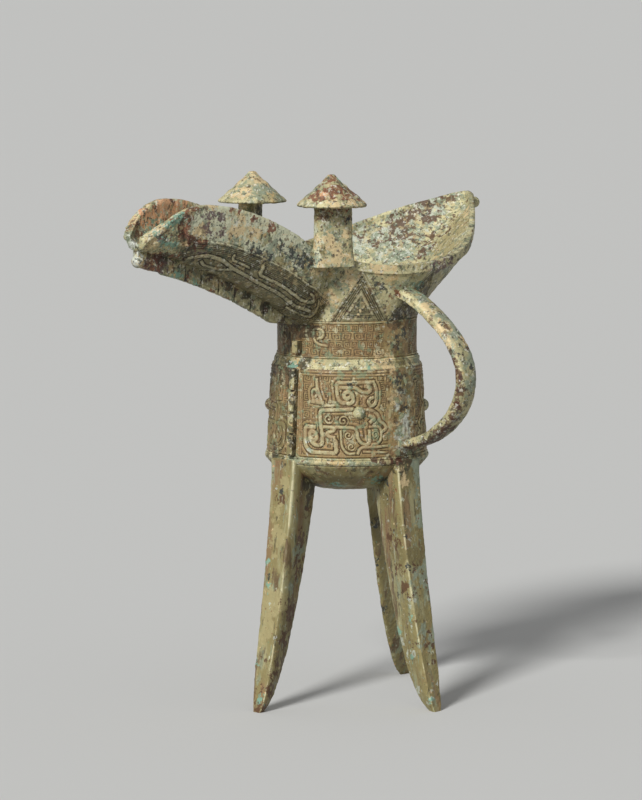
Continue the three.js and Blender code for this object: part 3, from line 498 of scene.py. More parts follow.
        (-1, -59, 143.5, 1.5), (-3, -61, 139.5, 1.4), (1, -62.5, 135, 1.4), (-105.5, 7, 189, 1.3),
        (-2, -29, 122, 2), (-5, -29, 127, 2), (1, -30, 117, 1.6), (-68, -14, 181, 3), (-65, -14, 180, 3),
        (-62, -15, 179, 2), (-59, -15, 177.5, 2), (-54, -17, 181, 4), (-50, -17, 180, 4), (-45, -17, 177, 5),
        (-41, -18, 176, 4), (-30, -24, 185, 1.8), (-39, -19, 177, 1.8), (-28, -25, 191, 2.6), (-35, -22, 187, 1.4),
        (-14, -28, 166, 2.4), (-12, -29, 164, 2), (-19, -28, 169, 1.8), (-3, -29, 129, 4), (-2, -29, 125, 3),
        (-2, -28, 142, 4), (3, -28, 146, 4), (-1, -30, 117, 3), (-3, -34, 85, 1.4), (-4, -35, 78, 1.6),
        (-5, -36, 68, 1.6), (-6, -37, 61, 1.8), (-5, -37, 56, 1.6), (-3, -30, 44, 1.8), (18, 0, 66, 3),
        (22, 4, 50, 2.4), (30, 7, 30, 2.4), (-37, -20, 189, 2), (-33, 4, 85, 1.6), (-91, -1, 170, 1.4),
        (-83, -1, 168, 1.4), (60, 16, 186, 3), (42, 20, 175, 3), (48, 12, 176, 2), (-21, -21, 127, 1.6),
        (-105, 5, 186, 2), (-38, 7, 52, 1.4), (-6, -25, 88, 3),
    ]),
}


def stain(points, name, ragged):
    """How strongly a stain lies on each point: 1 at each of its places, and a straight fall to 0 at 1.5 times the
    reach. The random field moves that fall in and out."""
    best = np.zeros(points.shape[:-1])
    for *centre, reach in STAINS[name][3]:
        gap = np.linalg.norm(points - centre, axis=-1) / reach
        best = np.maximum(best, np.clip(1.2 - 0.8 * (gap + ragged), 0, 1))
    return best


# Meshes

# How much each stain swells the surface
CRUSTS = {"rust": 1.0, "teal": 1.0, "orange": 0.6, "chalk": 0.5, "brown": 0.4, "plum": 0.5}


def build(name, points, wrap_rows, material, node, crust, fields=()):
    """A closed surface from a grid of points in millimetres. Columns always close on themselves. Rows close too,
    or else both ends get a flat face. Corrosion swells the stained places outwards by the crust's height. fields are
    values for the grid's first rows and columns, 0 on the rest: raised is the ornament's height from -1 in a groove
    to 1 on a band, and on the flanks of swept pieces a value under 0 that is painted shade, ornate is 1 where there is
    ornament, and then the fine ornament."""
    rows, cols = points.shape[:2]
    a = np.arange(rows if wrap_rows else rows - 1)[:, None] * cols
    b = (a + cols) % (rows * cols)
    c = np.arange(cols)[None, :]
    d = (c + 1) % cols
    quads = np.stack([a + c, a + d, b + d, b + c], axis=-1).reshape(-1, 4)
    flat = points.reshape(-1, 3)
    corners = flat[quads] - flat.mean(axis=0)
    volume = sum(
        np.einsum("ij,ij->", corners[:, 0], np.cross(corners[:, k], corners[:, k + 1])) for k in (1, 2)
    )
    ends = [] if wrap_rows else [list(range(cols))[::-1], list(range((rows - 1) * cols, rows * cols))]
    if volume < 0:
        quads = quads[:, ::-1]
        ends = [end[::-1] for end in ends]
    mesh = bpy.data.meshes.new(name)
    mesh.from_pydata(((flat + AXIS) * MM).tolist(), [], quads.tolist() + ends)
    mesh.update()
    ragged = 0.35 * grain(flat, 5.0, 3)
    values = {key: stain(flat, key, ragged) for key in STAINS}
    for key in ("raised", "ornate", *FINE):
        sheet = np.zeros((rows, cols))
        if key in fields:
            sheet[:fields[key].shape[0], :fields[key].shape[1]] = fields[key]
        values[key] = sheet.reshape(-1)
    for key, value in values.items():
        mesh.attributes.new(key, "FLOAT", "POINT").data.foreach_set("value", value.astype(np.float32))
    mesh.polygons.foreach_set("use_smooth", [True] * len(mesh.polygons))
    normals = np.zeros((len(flat), 3), dtype=np.float32)
    mesh.vertices.foreach_get("normal", normals.ravel())
    lump = 0.5 + 1.1 * grain(flat, 1.8, 5)
    swell = crust * sum(share * values[key] for key, share in CRUSTS.items()) * lump
    swell += (0.08 + 0.4 * crust) * grain(flat, 3.4, 2) + (0.05 + 0.2 * crust) * noise(flat, 1.0, 4)
    moved = flat + normals * swell[:, None]
    moved[:, 2] = np.maximum(moved[:, 2], 0)
    mesh.vertices.foreach_set("co", ((moved + AXIS) * MM).astype(np.float32).ravel())
    mesh.update()
    piece = bpy.data.objects.new(name, mesh)
    bpy.context.collection.objects.link(piece)
    mesh.materials.append(material)
    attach(piece, "root")
    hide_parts(node)
    return piece


# Materials

def linear(code):
    """An sRGB hex colour as linear red, green and blue, and an alpha of 1."""
    values = [int(code[k:k + 2], 16) / 255 for k in (1, 3, 5)]
    return tuple(v / 12.92 if v <= 0.04045 else ((v + 0.055) / 1.055) ** 2.4 for v in values) + (1.0,)


def add(tree, kind, inputs=(), **settings):
    """Adds a node. inputs pairs a socket's name or number with a value or with another node's output."""
    made = tree.nodes.new("ShaderNode" + kind)
    for key, value in settings.items():
        setattr(made, key, value)
    for key, value in dict(inputs).items():
        if isinstance(value, bpy.types.NodeSocket):
            tree.links.new(value, made.inputs[key])
        else:
            made.inputs[key].default_value = value
    return made


# Lines of a square spiral from its cell's middle to its side
SPIRAL_TURNS = 2.2
ROUGHNESS = 0.55


def patina(name, base, washes, groove, ground, crest, flecks, drawn=1.0):
    """Patinated cast bronze, as coats of colour laid over each other: a mineral skin with soft washes, the
    ornament's ground, grooves and worn crests, the stains of corrosion and one of painted shade, then crisp flecks all
    over; the groove's colour also paints shade on the flanks of swept pieces. A wash or a fleck has its colour, its
    size in mm, where its random field starts and ends to show, and how much it hides. drawn under 1 stretches washes
    and flecks upwards."""
    material = bpy.data.materials.new(name)
    material.use_nodes = True
    tree = material.node_tree
    skin = tree.nodes["Principled BSDF"]
    place = add(tree, "TexCoord").outputs["Object"]
    stretched = add(tree, "VectorMath", {0: place, 1: (1, 1, drawn)}, operation="MULTIPLY").outputs[0]
    raised = add(tree, "Attribute", attribute_name="raised").outputs["Fac"]
    ornate = add(tree, "Attribute", attribute_name="ornate").outputs["Fac"]
    # The finest ornament: in a cell, the larger of the ways aside and up, in line widths, less the share of a turn
    # counts the lines of a square spiral
    carving = {key: add(tree, "Attribute", attribute_name=key).outputs["Fac"] for key in FINE}
    cell = [add(tree, "Math", {0: carving[key], 1: 1.0}, operation="PINGPONG").outputs[0] for key in FINE[:2]]
    cell = [add(tree, "Math", {0: value, 1: 2.0, 2: -1.0}, operation="MULTIPLY_ADD").outputs[0] for value in cell]
    size = [add(tree, "Math", {0: value}, operation="ABSOLUTE").outputs[0] for value in cell]
    far = add(tree, "Math", {0: size[0], 1: size[1]}, operation="MAXIMUM").outputs[0]
    turn = add(tree, "Math", {0: cell[1], 1: cell[0]}, operation="ARCTAN2").outputs[0]
    turn = add(tree, "Math", {0: turn, 1: -1 / (2 * math.pi)}, operation="MULTIPLY").outputs[0]
    spiral = add(tree, "Math", {0: far, 1: SPIRAL_TURNS, 2: turn}, operation="MULTIPLY_ADD").outputs[0]
    # A band's outline lies between 0.02 and 0.34 mm outside its edge
    cut = add(tree, "MapRange", {0: carving["edge"], 1: 0.02, 2: 0.1}, interpolation_type="SMOOTHSTEP").outputs[0]
    over = add(tree, "MapRange", {0: carving["edge"], 1: 0.34, 2: 0.24}, interpolation_type="SMOOTHSTEP").outputs[0]
    cut = add(tree, "Math", {0: cut, 1: over}, operation="MULTIPLY").outputs[0]
    for wave, where in ((spiral, carving["carved"]), (carving["phase"], carving["lined"])):
        line = add(tree, "Math", {0: wave, 1: 0.5}, operation="PINGPONG").outputs[0]
        line = add(tree, "MapRange", {0: line, 1: 0.24, 2: 0.36}, interpolation_type="SMOOTHSTEP").outputs[0]
        line = add(tree, "Math", {0: line, 1: where}, operation="MULTIPLY").outputs[0]
        cut = add(tree, "Math", {0: line, 1: cut}, operation="MAXIMUM").outputs[0]
    relief = [(ornate, 0.2, 0.8, 0.7, ground), (raised, 0.45, 0.95, 0.75, crest)]
    # Where raised is below 0 on the flanks of swept pieces, the groove's colour is painted shade
    grooves = [(raised, -0.15, -0.75, 0.8, groove), (cut, 0.1, 0.9, 0.72, groove)]
    # The stains' coats; one of them is painted shade
    stain_and_shade_coats = []
    for k, (key, (tint, size, cover, _)) in enumerate(STAINS.items()):
        amount = add(tree, "Attribute", attribute_name=key).outputs["Fac"]
        pattern = {"Vector": place, "Scale": 1000 / size, "Detail": 5.0, "Roughness": 0.65, "W": 4.1 * k}
        lumps = add(tree, "TexNoise", pattern, noise_dimensions="4D").outputs["Fac"]
        both = add(tree, "Math", {0: lumps, 1: 3.4, 2: -1.7}, operation="MULTIPLY_ADD").outputs[0]
        both = add(tree, "Math", {0: amount, 1: cover, 2: both}, operation="MULTIPLY_ADD").outputs[0]
        stain_and_shade_coats.append((both, 0.48, 0.66, 0.88, tint))
    soft, crisp = [], []
    for k, (tint, size, low, high, most) in enumerate(washes + flecks):
        pattern = {"Vector": stretched, "Scale": 1000 / size, "Detail": 5.0, "Roughness": 0.62, "W": 1.7 * k}
        lumps = add(tree, "TexNoise", pattern, noise_dimensions="4D").outputs["Fac"]
        (soft if k < len(washes) else crisp).append((lumps, low, high, most, tint))
    colour = add(tree, "RGB").outputs[0]
    colour.default_value = linear(base)
    for value, low, high, most, tint in soft + relief + stain_and_shade_coats + grooves + crisp:
        mask = add(tree, "MapRange", {0: value, 1: low, 2: high, 4: most}, interpolation_type="SMOOTHSTEP").outputs[0]
        colour = add(tree, "Mix", {0: mask, 6: colour, 7: linear(tint)}, data_type="RGBA").outputs[2]
    tree.links.new(colour, skin.inputs["Base Color"])
    sheen = add(tree, "TexNoise", {"Vector": place, "Scale": 1000 / 4.0, "Detail": 3.0}).outputs["Fac"]
    shine = add(tree, "MapRange", {0: sheen, 1: 0.3, 2: 0.7, 3: ROUGHNESS - 0.12, 4: ROUGHNESS + 0.16}).outputs[0]
    tree.links.new(shine, skin.inputs["Roughness"])
    skin.inputs["Metallic"].default_value = 0.1
    # Fine lines a quarter of a millimetre deep, then the pits of the corroded skin, 0.5 to 1.4 mm across
    lines = add(tree, "Bump", {"Height": cut, "Strength": 1.0, "Distance": 0.00025}, invert=True).outputs["Normal"]
    pattern = {"Vector": place, "Scale": 1000 / 1.4, "Detail": 6.0, "Roughness": 0.65}
    pits = add(tree, "TexNoise", pattern).outputs["Fac"]
    bump = add(tree, "Bump", {"Height": pits, "Strength": 0.6, "Distance": 0.00045, "Normal": lines})
    tree.links.new(bump.outputs["Normal"], skin.inputs["Normal"])
    return material


# Tan and olive skin of the belly and neck: brown in the grooves, cream-green on the worn bands
ORNATE = patina(
    "patinated_cast_bronze_tan", "#a59565",
    [("#b9ae80", 14, 0.45, 0.6, 1), ("#857d50", 8, 0.5, 0.6, 0.9), ("#af8b64", 9, 0.5, 0.6, 0.8)],
    "#4a3823", "#9d8254", "#bcb48b",
    [("#9d7f5a", 4.0, 0.5, 0.56, 0.5), ("#665236", 2.0, 0.57, 0.61, 0.55), ("#cfcaa4", 2.4, 0.57, 0.61, 0.6),
     ("#393627", 1.3, 0.63, 0.67, 0.75), ("#8b9a78", 3.4, 0.55, 0.6, 0.65)],
)
# Pale green-grey skin of the smooth parts: rim, spout, posts, handle and shoulder
PLAIN = patina(
    "patinated_cast_bronze_pale", "#b0aa80",
    [("#d2ca9c", 12, 0.46, 0.58, 1), ("#89937a", 6, 0.52, 0.58, 0.8), ("#d2b37c", 9, 0.56, 0.64, 0.8),
     ("#6f785c", 3.0, 0.56, 0.61, 0.65)],
    "#2a2316", "#6b6346", "#dcd5ae",
    [("#c9b88a", 3.2, 0.55, 0.6, 0.55), ("#333a30", 2.0, 0.59, 0.63, 0.78), ("#e2e0cb", 2.2, 0.6, 0.65, 0.6),
     ("#66492f", 2.8, 0.595, 0.635, 0.65), ("#52604c", 3.4, 0.58, 0.63, 0.55),
     ("#46332e", 1.4, 0.575, 0.61, 0.7), ("#ebe9d8", 1.5, 0.59, 0.625, 0.6)],
)
# Olive-brown skin of the legs and the bottom, drawn out in upright streaks
STREAKED = patina(
    "patinated_cast_bronze_olive", "#938759",
    [("#aba57b", 7, 0.49, 0.6, 0.9), ("#69533a", 5, 0.53, 0.6, 0.85), ("#8f7050", 8, 0.54, 0.64, 0.7),
     ("#949d80", 3.0, 0.57, 0.62, 0.7)],
    "#483623", "#857a54", "#dad3aa",
    [("#3a3424", 1.8, 0.61, 0.66, 0.65), ("#c4c6ab", 1.6, 0.61, 0.66, 0.6), ("#64805f", 1.8, 0.65, 0.69, 0.6)],
    drawn=0.16,
)


# Round sections

def ring(radius, z, cols):
    """Points round the axis for each radius and height of a profile."""
    angle = np.linspace(0, 2 * np.pi, cols, endpoint=False)
    r = np.broadcast_to(np.asarray(radius, float)[:, None] if np.ndim(radius) == 1 else radius, (len(z), cols))
    return np.stack([r * np.cos(angle), r * np.sin(angle), np.broadcast_to(np.asarray(z)[:, None], r.shape)], axis=-1)


# Where the ornament is worn away or eaten by corrosion: direction in degrees, half width, how much of it is lost
WORN = [(-99, 9, 0.7), (-86, 9, 0.75), (158, 14, 0.4), (-50, 12, 0.4), (60, 20, 0.4)]


def wear(angle):
    """The share of the ornament's height that is left in each direction."""
    left = np.ones(np.shape(angle))
    for middle, half, lost in WORN:
        off = np.abs((np.degrees(angle) - middle + 180) % 360 - 180)
        left = np.minimum(left, 1 - lost * smooth(1.3 * half, 0.7 * half, off))
    return left


def spare(fine, left):
    """Leaves the finest ornament out where little of the ornament's height is left."""
    fine["carved"] = fine["carved"] * smooth(0.3, 0.8, left)
    fine["edge"] = np.where(left > 0.45, fine["edge"], -1)


def belly():
    """The belly's wall: a slightly tapering drum whose outer face carries the mask relief."""
    cols, rows = 780, 112
    z = np.linspace(BELLY_Z, BELLY_TOP_Z, rows)
    share = (z - BELLY_Z) / (BELLY_TOP_Z - BELLY_Z)
    angle = np.linspace(0, 2 * np.pi, cols, endpoint=False)
    places = ring(np.full(rows, BELLY_LOW_R), z, cols)
    left = wear(angle) * (1 + 0.25 * grain(places, 9, 7))
    height, fine = belly_relief(angle[None, :], z[:, None])
    height = height * left + (1 - left) * (0.3 + 0.55 * grain(places, 3.2, 8))
    spare(fine, left)
    outer = (BELLY_LOW_R - BELLY_TAPER * share)[:, None] + height - BELLY_SINK
    inner_z = z[::-22]
    inner = np.broadcast_to((BELLY_LOW_R - WALL - BELLY_TAPER * share[::-22])[:, None], (len(inner_z), cols))
    radius = np.concatenate([outer, inner])
    points = ring(radius, np.concatenate([z, inner_z]), cols)
    fields = {"raised": height / BAND_RISE * 2 - 1, "ornate": np.ones(outer.shape), **fine}
    return build("belly", points, True, ORNATE, "belly_wall", 0.12, fields)


def lathe(name, profile, node, material, cols, steps):
    """A round section from a closed profile of radius and height, its corners slightly rounded."""
    closed = np.array(list(profile) + [profile[0]], float)
    length = np.concatenate([[0], np.cumsum(np.linalg.norm(np.diff(closed, axis=0), axis=1))])
    at = np.linspace(0, length[-1], steps, endpoint=False)
    r, z = np.interp(at, length, closed[:, 0]), np.interp(at, length, closed[:, 1])
    for _ in range(2):
        r = (np.roll(r, 1) + 2 * r + np.roll(r, -1)) / 4
        z = (np.roll(z, 1) + 2 * z + np.roll(z, -1)) / 4
    return build(name, ring(np.maximum(r, 0.01), z, cols), True, material, node, 0.12)


def bowl():
    """The round bottom, from its middle out to the ridge and back inside."""
    low = span("bowl_bottom")[0][2]
    outer = [(BELLY_LOW_R * r, low + (RIDGE_Z - low) * depth) for r, depth in BOWL_OUTLINE]
    inner = [(r - WALL * r / BELLY_LOW_R, z + WALL * math.sqrt(0.5) * (2 - r / BELLY_LOW_R)) for r, z in outer]
    profile = [
        (0.2, low), *outer, (BELLY_LOW_R, RIDGE_Z), (BELLY_LOW_R - WALL, RIDGE_Z), *reversed(inner), (0.2, low + WALL),
    ]
    return lathe("bowl", profile, "bowl_bottom", STREAKED, 260, 120)


def ridge():
    """The bright ridge between the belly and the bowl, with a fine line along its upper edge."""
    out = span("base_ridge")[1][0]
    profile = [
        (out - 3, RIDGE_Z - 0.3), (out - 0.5, RIDGE_Z), (out + 0.1, RIDGE_Z + 0.9), (out, RIDGE_Z + 1.9),
        (out - 0.7, RIDGE_Z + 2.1), (out - 0.25, RIDGE_Z + 2.4), (out - 0.4, BELLY_Z - 0.1),
        (out - 1.2, BELLY_Z + 0.1), (out - 3, BELLY_Z),
    ]
    return lathe("base_ridge_cast", profile, "base_ridge", PLAIN, 420, 70)


def shoulder():
    """The plain stepped band between the belly and the neck."""
    low, high, out = BELLY_TOP_Z, SHOULDER_TOP_Z, SHOULDER_R
    foot = BELLY_LOW_R - BELLY_TAPER - 0.5
    profile = [
        (NECK_R - WALL, low - 0.2), (foot, low - 0.2), (foot, low + 0.4), (out + 0.2, low + 0.9),
        (out + 0.1, high - 1.1), (out - 0.5, high - 0.9), (out - 0.2, high - 0.5), (NECK_R - 0.3, high + 0.1),
        (NECK_R - WALL, high),
    ]
    return lathe("shoulder", profile, "shoulder_step", PLAIN, 420, 80)


# Mouth, neck and spout share these surfaces

RIM_FINE = along(MOUTH_RIM, np.linspace(0, 1, 400))
RIM_ANGLE = np.arctan2(np.maximum(RIM_FINE[:, 1], 0), RIM_FINE[:, 0])
RIM_REACH = np.hypot(RIM_FINE[:, 0], RIM_FINE[:, 1])


def mouth_radius(angle, z, y_side):
    """The outer radius at an angle and height: the neck's below its top, and above it an easing out to the rim."""
    fold = np.abs(angle)
    reach = np.interp(fold, RIM_ANGLE, RIM_REACH)
    top = np.interp(fold, RIM_ANGLE, RIM_FINE[:, 2]) + MOUTH_LEAN * reach * np.sin(fold) * y_side - LIP_HEIGHT
    share = np.clip((z - NECK_TOP_Z) / (top - NECK_TOP_Z), 0, 1)
    tail = np.maximum(0, np.cos(fold)) ** 2
    return NECK_R + (reach - NECK_R) * share ** (MOUTH_FLARE + (TAIL_FLARE - MOUTH_FLARE) * tail)


def spout_floor(x, y):
    """The height of the spout's outer underside over a place, or very high where the spout isn't."""
    share = np.interp(-x, -SPOUT[:, 0], np.linspace(0, 1, len(SPOUT)))
    _, wide, low, high, roundness = np.moveaxis(along(SPOUT, share), -1, 0)
    across = np.clip(np.abs(y) / wide, 0, 1)
    z = high - (high - low) * np.maximum(1 - across ** 2, 0) ** (roundness / 2)
    return np.where((np.abs(y) < wide) & (x < -10), z + SPOUT_LEAN * y, FAR)


def neck_and_mouth():
    """The neck up to its top and the mouth above it, both open where the spout's channel passes."""
    cols = 660
    length = np.concatenate([[0], np.cumsum(np.linalg.norm(np.diff(RIM_FINE[:, :2], axis=0), axis=1))])
    half = np.interp(np.linspace(0, length[-1], cols // 2 + 1), length, RIM_ANGLE)
    angle = np.concatenate([half, -half[-2:0:-1]])
    side = np.sign(angle)
    fold = np.abs(angle)
    lean = MOUTH_LEAN * np.interp(fold, RIM_ANGLE, RIM_REACH) * np.sin(angle)
    rim_top = np.interp(fold, RIM_ANGLE, RIM_FINE[:, 2]) + lean

    def outer(z, inset):
        """The wall's face at heights z, lying in from the outer face by inset."""
        flare_z = np.minimum(z, rim_top - LIP_HEIGHT)
        r = mouth_radius(angle, flare_z, side) - inset
        return np.stack([r * np.cos(angle), r * np.sin(angle), z], axis=-1)

    heights = SHOULDER_TOP_Z + np.linspace(0, 1, 160)[:, None] * (rim_top - SHOULDER_TOP_Z)
    trial = outer(heights, 1.2)
    above = trial[..., 2] - spout_floor(trial[..., 0], trial[..., 1])
    hit = np.where((above > 1.0).any(axis=0), np.argmax(above > 1.0, axis=0), len(heights) - 1)
    stop = heights[hit, np.arange(cols)]
    stop = (np.roll(stop, 1) + stop + np.roll(stop, -1)) / 3

    def wall(low, high, rows, inner_rows, lip):
        """Outer face upwards, then the inner face down again, with the ornament on the outer one."""
        z = low + np.linspace(0, 1, rows)[:, None] * (high - low)
        face = outer(z, 0.0)
        height, field, fine = neck_relief(angle[None, :], z)
        left = wear(angle)[None, :]
        spare(fine, left)
        height = height * left + field * (1 - left) * (0.3 + 0.5 * grain(face, 3.2, 8))
        step = smooth(rim_top - LIP_HEIGHT - 0.2, rim_top - LIP_HEIGHT + 0.2, z) if lip else 1 + 0 * z
        under = smooth(rim_top - LIP_HEIGHT - 9, rim_top - LIP_HEIGHT - 1, z)
        grown = FLAT_SHARE * height - NECK_SINK * field + LIP_STEP * (step - 1) * under
        face = face + grown[..., None] * np.stack([np.cos(angle), np.sin(angle), 0 * angle], axis=-1)
        inner_z = (low + np.linspace(0, 1, inner_rows)[:, None] * (high - low))[::-1]
        inner = outer(inner_z, WALL)
        raised = field * (height / BAND_RISE * 2 - 1) * (0.75 if lip else 1)
        return np.concatenate([face, inner]), {"raised": raised, "ornate": field, **fine}

    low = np.full(cols, SHOULDER_TOP_Z)
    split = np.minimum(stop, NECK_TOP_Z)
    points, fields = wall(low, split, 76, 4, False)
    build("neck_cast", points, True, ORNATE, "neck_wall", 0.12, fields)
    points, fields = wall(split - 0.05, np.maximum(stop, split + 0.4), 116, 30, True)
    build("mouth_cast", points, True, PLAIN, "mouth_and_tail", 0.16, fields)


# The spout's lines all leave the neck's wall within this share of its stations
ROOT_SHARE = 0.35


def spout():
    """A trough: each section runs from the near rim under to the far rim and back inside. Every line along the
    spout starts where it leaves the neck's wall."""
    rows, around, back = 320, 220, 60
    share = np.linspace(0, 1, rows)
    top = np.array([0.05, 0.15, 0.38, 0.62, 0.85, 0.95])
    rim = np.ones(len(top))
    turns = np.concatenate([np.linspace(-1, 1, around), rim, np.linspace(1, -1, back), -rim]) * np.pi / 2
    inset = np.concatenate([np.zeros(around), WALL * top, np.full(back, WALL), WALL * top[::-1]])

    def face(share, inset_now, angle):
        """A point of the section: half width by sine across, depth by a power of cosine down."""
        x, wide, low, high, roundness = np.moveaxis(along(SPOUT, share), -1, 0)
        drop = np.maximum(np.cos(angle), 0) ** roundness * (high - low - inset_now)
        y = (wide - inset_now) * np.sin(angle)
        return np.stack([x, y, high - drop + SPOUT_LEAN * y], axis=-1)

    thick = inset[None, :] * (1 + 0.4 * smooth(0.8, 0.92, share))[:, None]
    trial = face(np.broadcast_to(share[:, None] * ROOT_SHARE, (rows, len(turns))), inset[None, :], turns[None, :])
    r = np.hypot(trial[..., 0], trial[..., 1])
    turn = np.arctan2(trial[..., 1], trial[..., 0])
    outside = r > mouth_radius(turn, trial[..., 2], np.sign(trial[..., 1])) - WALL * 0.6
    start = ROOT_SHARE * np.where(outside.any(axis=0), share[np.argmax(outside, axis=0)], 1)
    full = start[None, :] + (1 - start[None, :]) * share[:, None]
    points = face(full, thick, turns[None, :])
    outer = points[:, :around]
    step = np.linalg.norm(np.diff(outer, axis=1), axis=-1)
    arc = np.concatenate([np.zeros((rows, 1)), np.cumsum(step, axis=1)], axis=1)
    depth = np.minimum(arc, arc[:, -1:] - arc)
    x = outer[..., 0]
    below = depth - np.interp(x, BORDER[:, 0], BORDER[:, 1])
    height, field, fine = spout_relief(x, below)
    # The rough lip at the tip lies a little lower, behind a slanting step
    edge = x + 100.5 - 0.22 * (depth - 3)
    lower = smooth(0.3, -0.5, edge) * smooth(1.5, 3.0, depth)
    crest = smooth(1.6, 0.4, np.abs(edge - 0.6)) * smooth(17, 13, depth)
    normal = np.cross(np.gradient(outer, axis=0), np.gradient(outer, axis=1))
    normal /= np.linalg.norm(normal, axis=-1, keepdims=True) + 1e-9
    normal *= -np.sign(normal[..., 2].sum())
    rough = (0.55 * grain(outer, 2.6, 4) + 0.16 * noise(outer, 0.9, 6)) * smooth(-97, -103, x)
    grown = FLAT_SHARE * height - SPOUT_SINK * field - 0.75 * lower + 0.25 * crest + rough
    points[:, :around] = outer + normal * grown[..., None]
    on_rim = points[:, around:around + len(top)]
    on_rim[..., 2] += 0.5 * grain(on_rim, 2.2, 4) * smooth(-96, -102, on_rim[..., 0])
    worn = smooth(1.8, 0.6, depth) * (0.7 + 0.5 * grain(outer, 7.0, 5))
    tone = field * np.minimum(height / BAND_RISE * 2 - 1, np.where(np.abs(below) < 0.5, 1, 0.76))
    tone = np.where(field > 0.3, tone, worn)
    return build("spout_cast", points, False, PLAIN, "spout", 0.26, {"raised": tone, "ornate": field, **fine})


# How far below the rim the border of the spout's ornament runs: x, distance round the section
BORDER = np.array([
    [-100, 13.6], [-94, 13.4], [-86, 14.4], [-78, 14.9], [-67, 16], [-56, 17.2], [-45, 17], [-35, 16], [-27, 18],
])
# A long-bodied beast: its limbs and trunk as bands, in x and distance below the border
SPOUT_BANDS = [
    ([(-61, 3.4), (-61.4, 7.3), (-50, 7.5), (-39, 7.8), (-34.2, 6.4), (-33.4, 3.9), (-36.4, 3.2)], 1.3),
    ([(-95, 7.4), (-87, 5.6), (-80, 6.6), (-73, 9.2), (-62, 10.8), (-50, 11.2), (-40, 11.8), (-32.5, 9.6)], 1.5),
    ([(-73, 9.2), (-78, 11.4), (-86, 10.6), (-88, 8.8)], 1.2),
    ([(-75, 3.6), (-75.4, 5.6), (-67, 6.4)], 1.0),
    ([(-42, 14.6), (-34.5, 13.6), (-30, 11), (-29.6, 6.4), (-31, 3)], 1.0),
]


def spout_relief(x, below):
    """Fine lines that follow the border, a hatched strip under them, and the beast's bands over a ground that is
    plain towards the tip and cut in square spirals towards the neck. Returns the height, where ornament is, and the
    fine ornament."""
    height, cover, near = band_relief(x, below, SPOUT_BANDS, rise=0.46)
    height = np.maximum(height, GROUND_RISE * (1 - cover) * (below > 0.6))
    height = np.maximum(height, 0.7 * smooth(0.6, 0.3, np.abs(below)))
    height = np.maximum(height, LINE_RISE * smooth(0.7, 0.4, np.abs(x + 98.6)) * (below > 0))
    field = smooth(-0.8, -0.5, below) * smooth(-99.8, -99.2, x)
    strip = (below > 2.9) & (below < 6.8) & (x > -86) & (x < -35) & (cover < 0.5)
    near_border = (below > 0.7) & (below <= 2.9) & (x > -97.5)
    fine = {
        "cell_a": x / 4.2, "cell_b": (below - 8.2) / 3.4, "phase": (below - 0.7) / 0.75,
        "carved": (1 - cover) * (below > 2.9) * smooth(-46, -42, x) * ~strip, "lined": 1.0 * (strip | near_border),
        "edge": np.where((below > 2.9) & (x > -97), near, -1),
    }
    return height * field, field, fine


# Swept and small pieces

def directions(degrees):
    """The level ways outwards and across, at an angle round the vessel."""
    turn = math.radians(degrees)
    return np.array([math.cos(turn), math.sin(turn), 0]), np.array([-math.sin(turn), math.cos(turn), 0])


def notched(value, places, narrow, wide, left):
    """1 along a flange, but the share left within narrow of each place, with slopes out to wide."""
    gap = np.min([np.abs(value - place) for place in places], axis=0, initial=np.inf)
    return left + (1 - left) * smooth(narrow, wide, gap) * np.ones(len(value))


def sweep(node, centres, across, outward, section, scale, material, crust, edges=0.0, sides=0.0, cuts=1.0):
    """Carries a closed section along a line. across and outward are the section's two directions, at each step or
    for all, and scale its size in each of them at each step. The section's outer corners are worn bright by the share
    edges, its two flanks darken by the share sides as painted shade, and the steps where cuts drops under 1 darken
    too."""
    across, outward = (np.broadcast_to(way, centres.shape)[:, None, :] for way in (across, outward))
    points = (
        centres[:, None, :]
        + across * (section[None, :, 0] * scale[:, None, 0])[..., None]
        + outward * (section[None, :, 1] * scale[:, None, 1])[..., None]
    )
    top = section[:, 1].max()
    from_corner = np.stack([np.abs(section[:, 0]) - 1, section[:, 1] - top], axis=-1) * scale.mean(axis=0)
    corner = smooth(0.95, 0.3, np.linalg.norm(from_corner, axis=1))
    worn = edges * corner[None, :] * (0.7 + 0.9 * grain(points, 7.0, 5))
    flank = (np.abs(section[:, 0]) > 0.96) & (section[:, 1] < top - 0.12)
    # Painted shade: the flanks below the outer face take a negative raised value, which the material paints in the
    # groove's dark colour
    worn = np.where(flank[None, :], -sides * (0.9 + 0.6 * grain(points, 4.0, 6)), worn)
    slit = np.broadcast_to(cuts, len(centres))[:, None] < 0.9
    worn = np.where(slit & (section[None, :, 1] > 0.45), -1.0, worn)
    return build(node + "_cast", points, False, material, node, crust, {"raised": worn})


def loop(corners, count, soft):
    """An even walk of count points round a closed outline. Each corner is cut off at the distance soft from it,
    or at a third of a shorter side, and what is left is cut again at a third of that."""
    path = np.array(list(corners), float)
    for cut in (soft, soft / 3):
        way = np.roll(path, -1, axis=0) - path
        bit = way * np.minimum(1 / 3, cut / np.linalg.norm(way, axis=1, keepdims=True))
        path = np.stack([path + bit, path + way - bit], axis=1).reshape(-1, 2)
    path = np.concatenate([path, path[:1]])
    length = np.concatenate([[0], np.cumsum(np.linalg.norm(np.diff(path, axis=0), axis=1))])
    at = np.linspace(0, length[-1], count, endpoint=False)
    return np.stack([np.interp(at, length, path[:, k]) for k in (0, 1)], axis=-1)


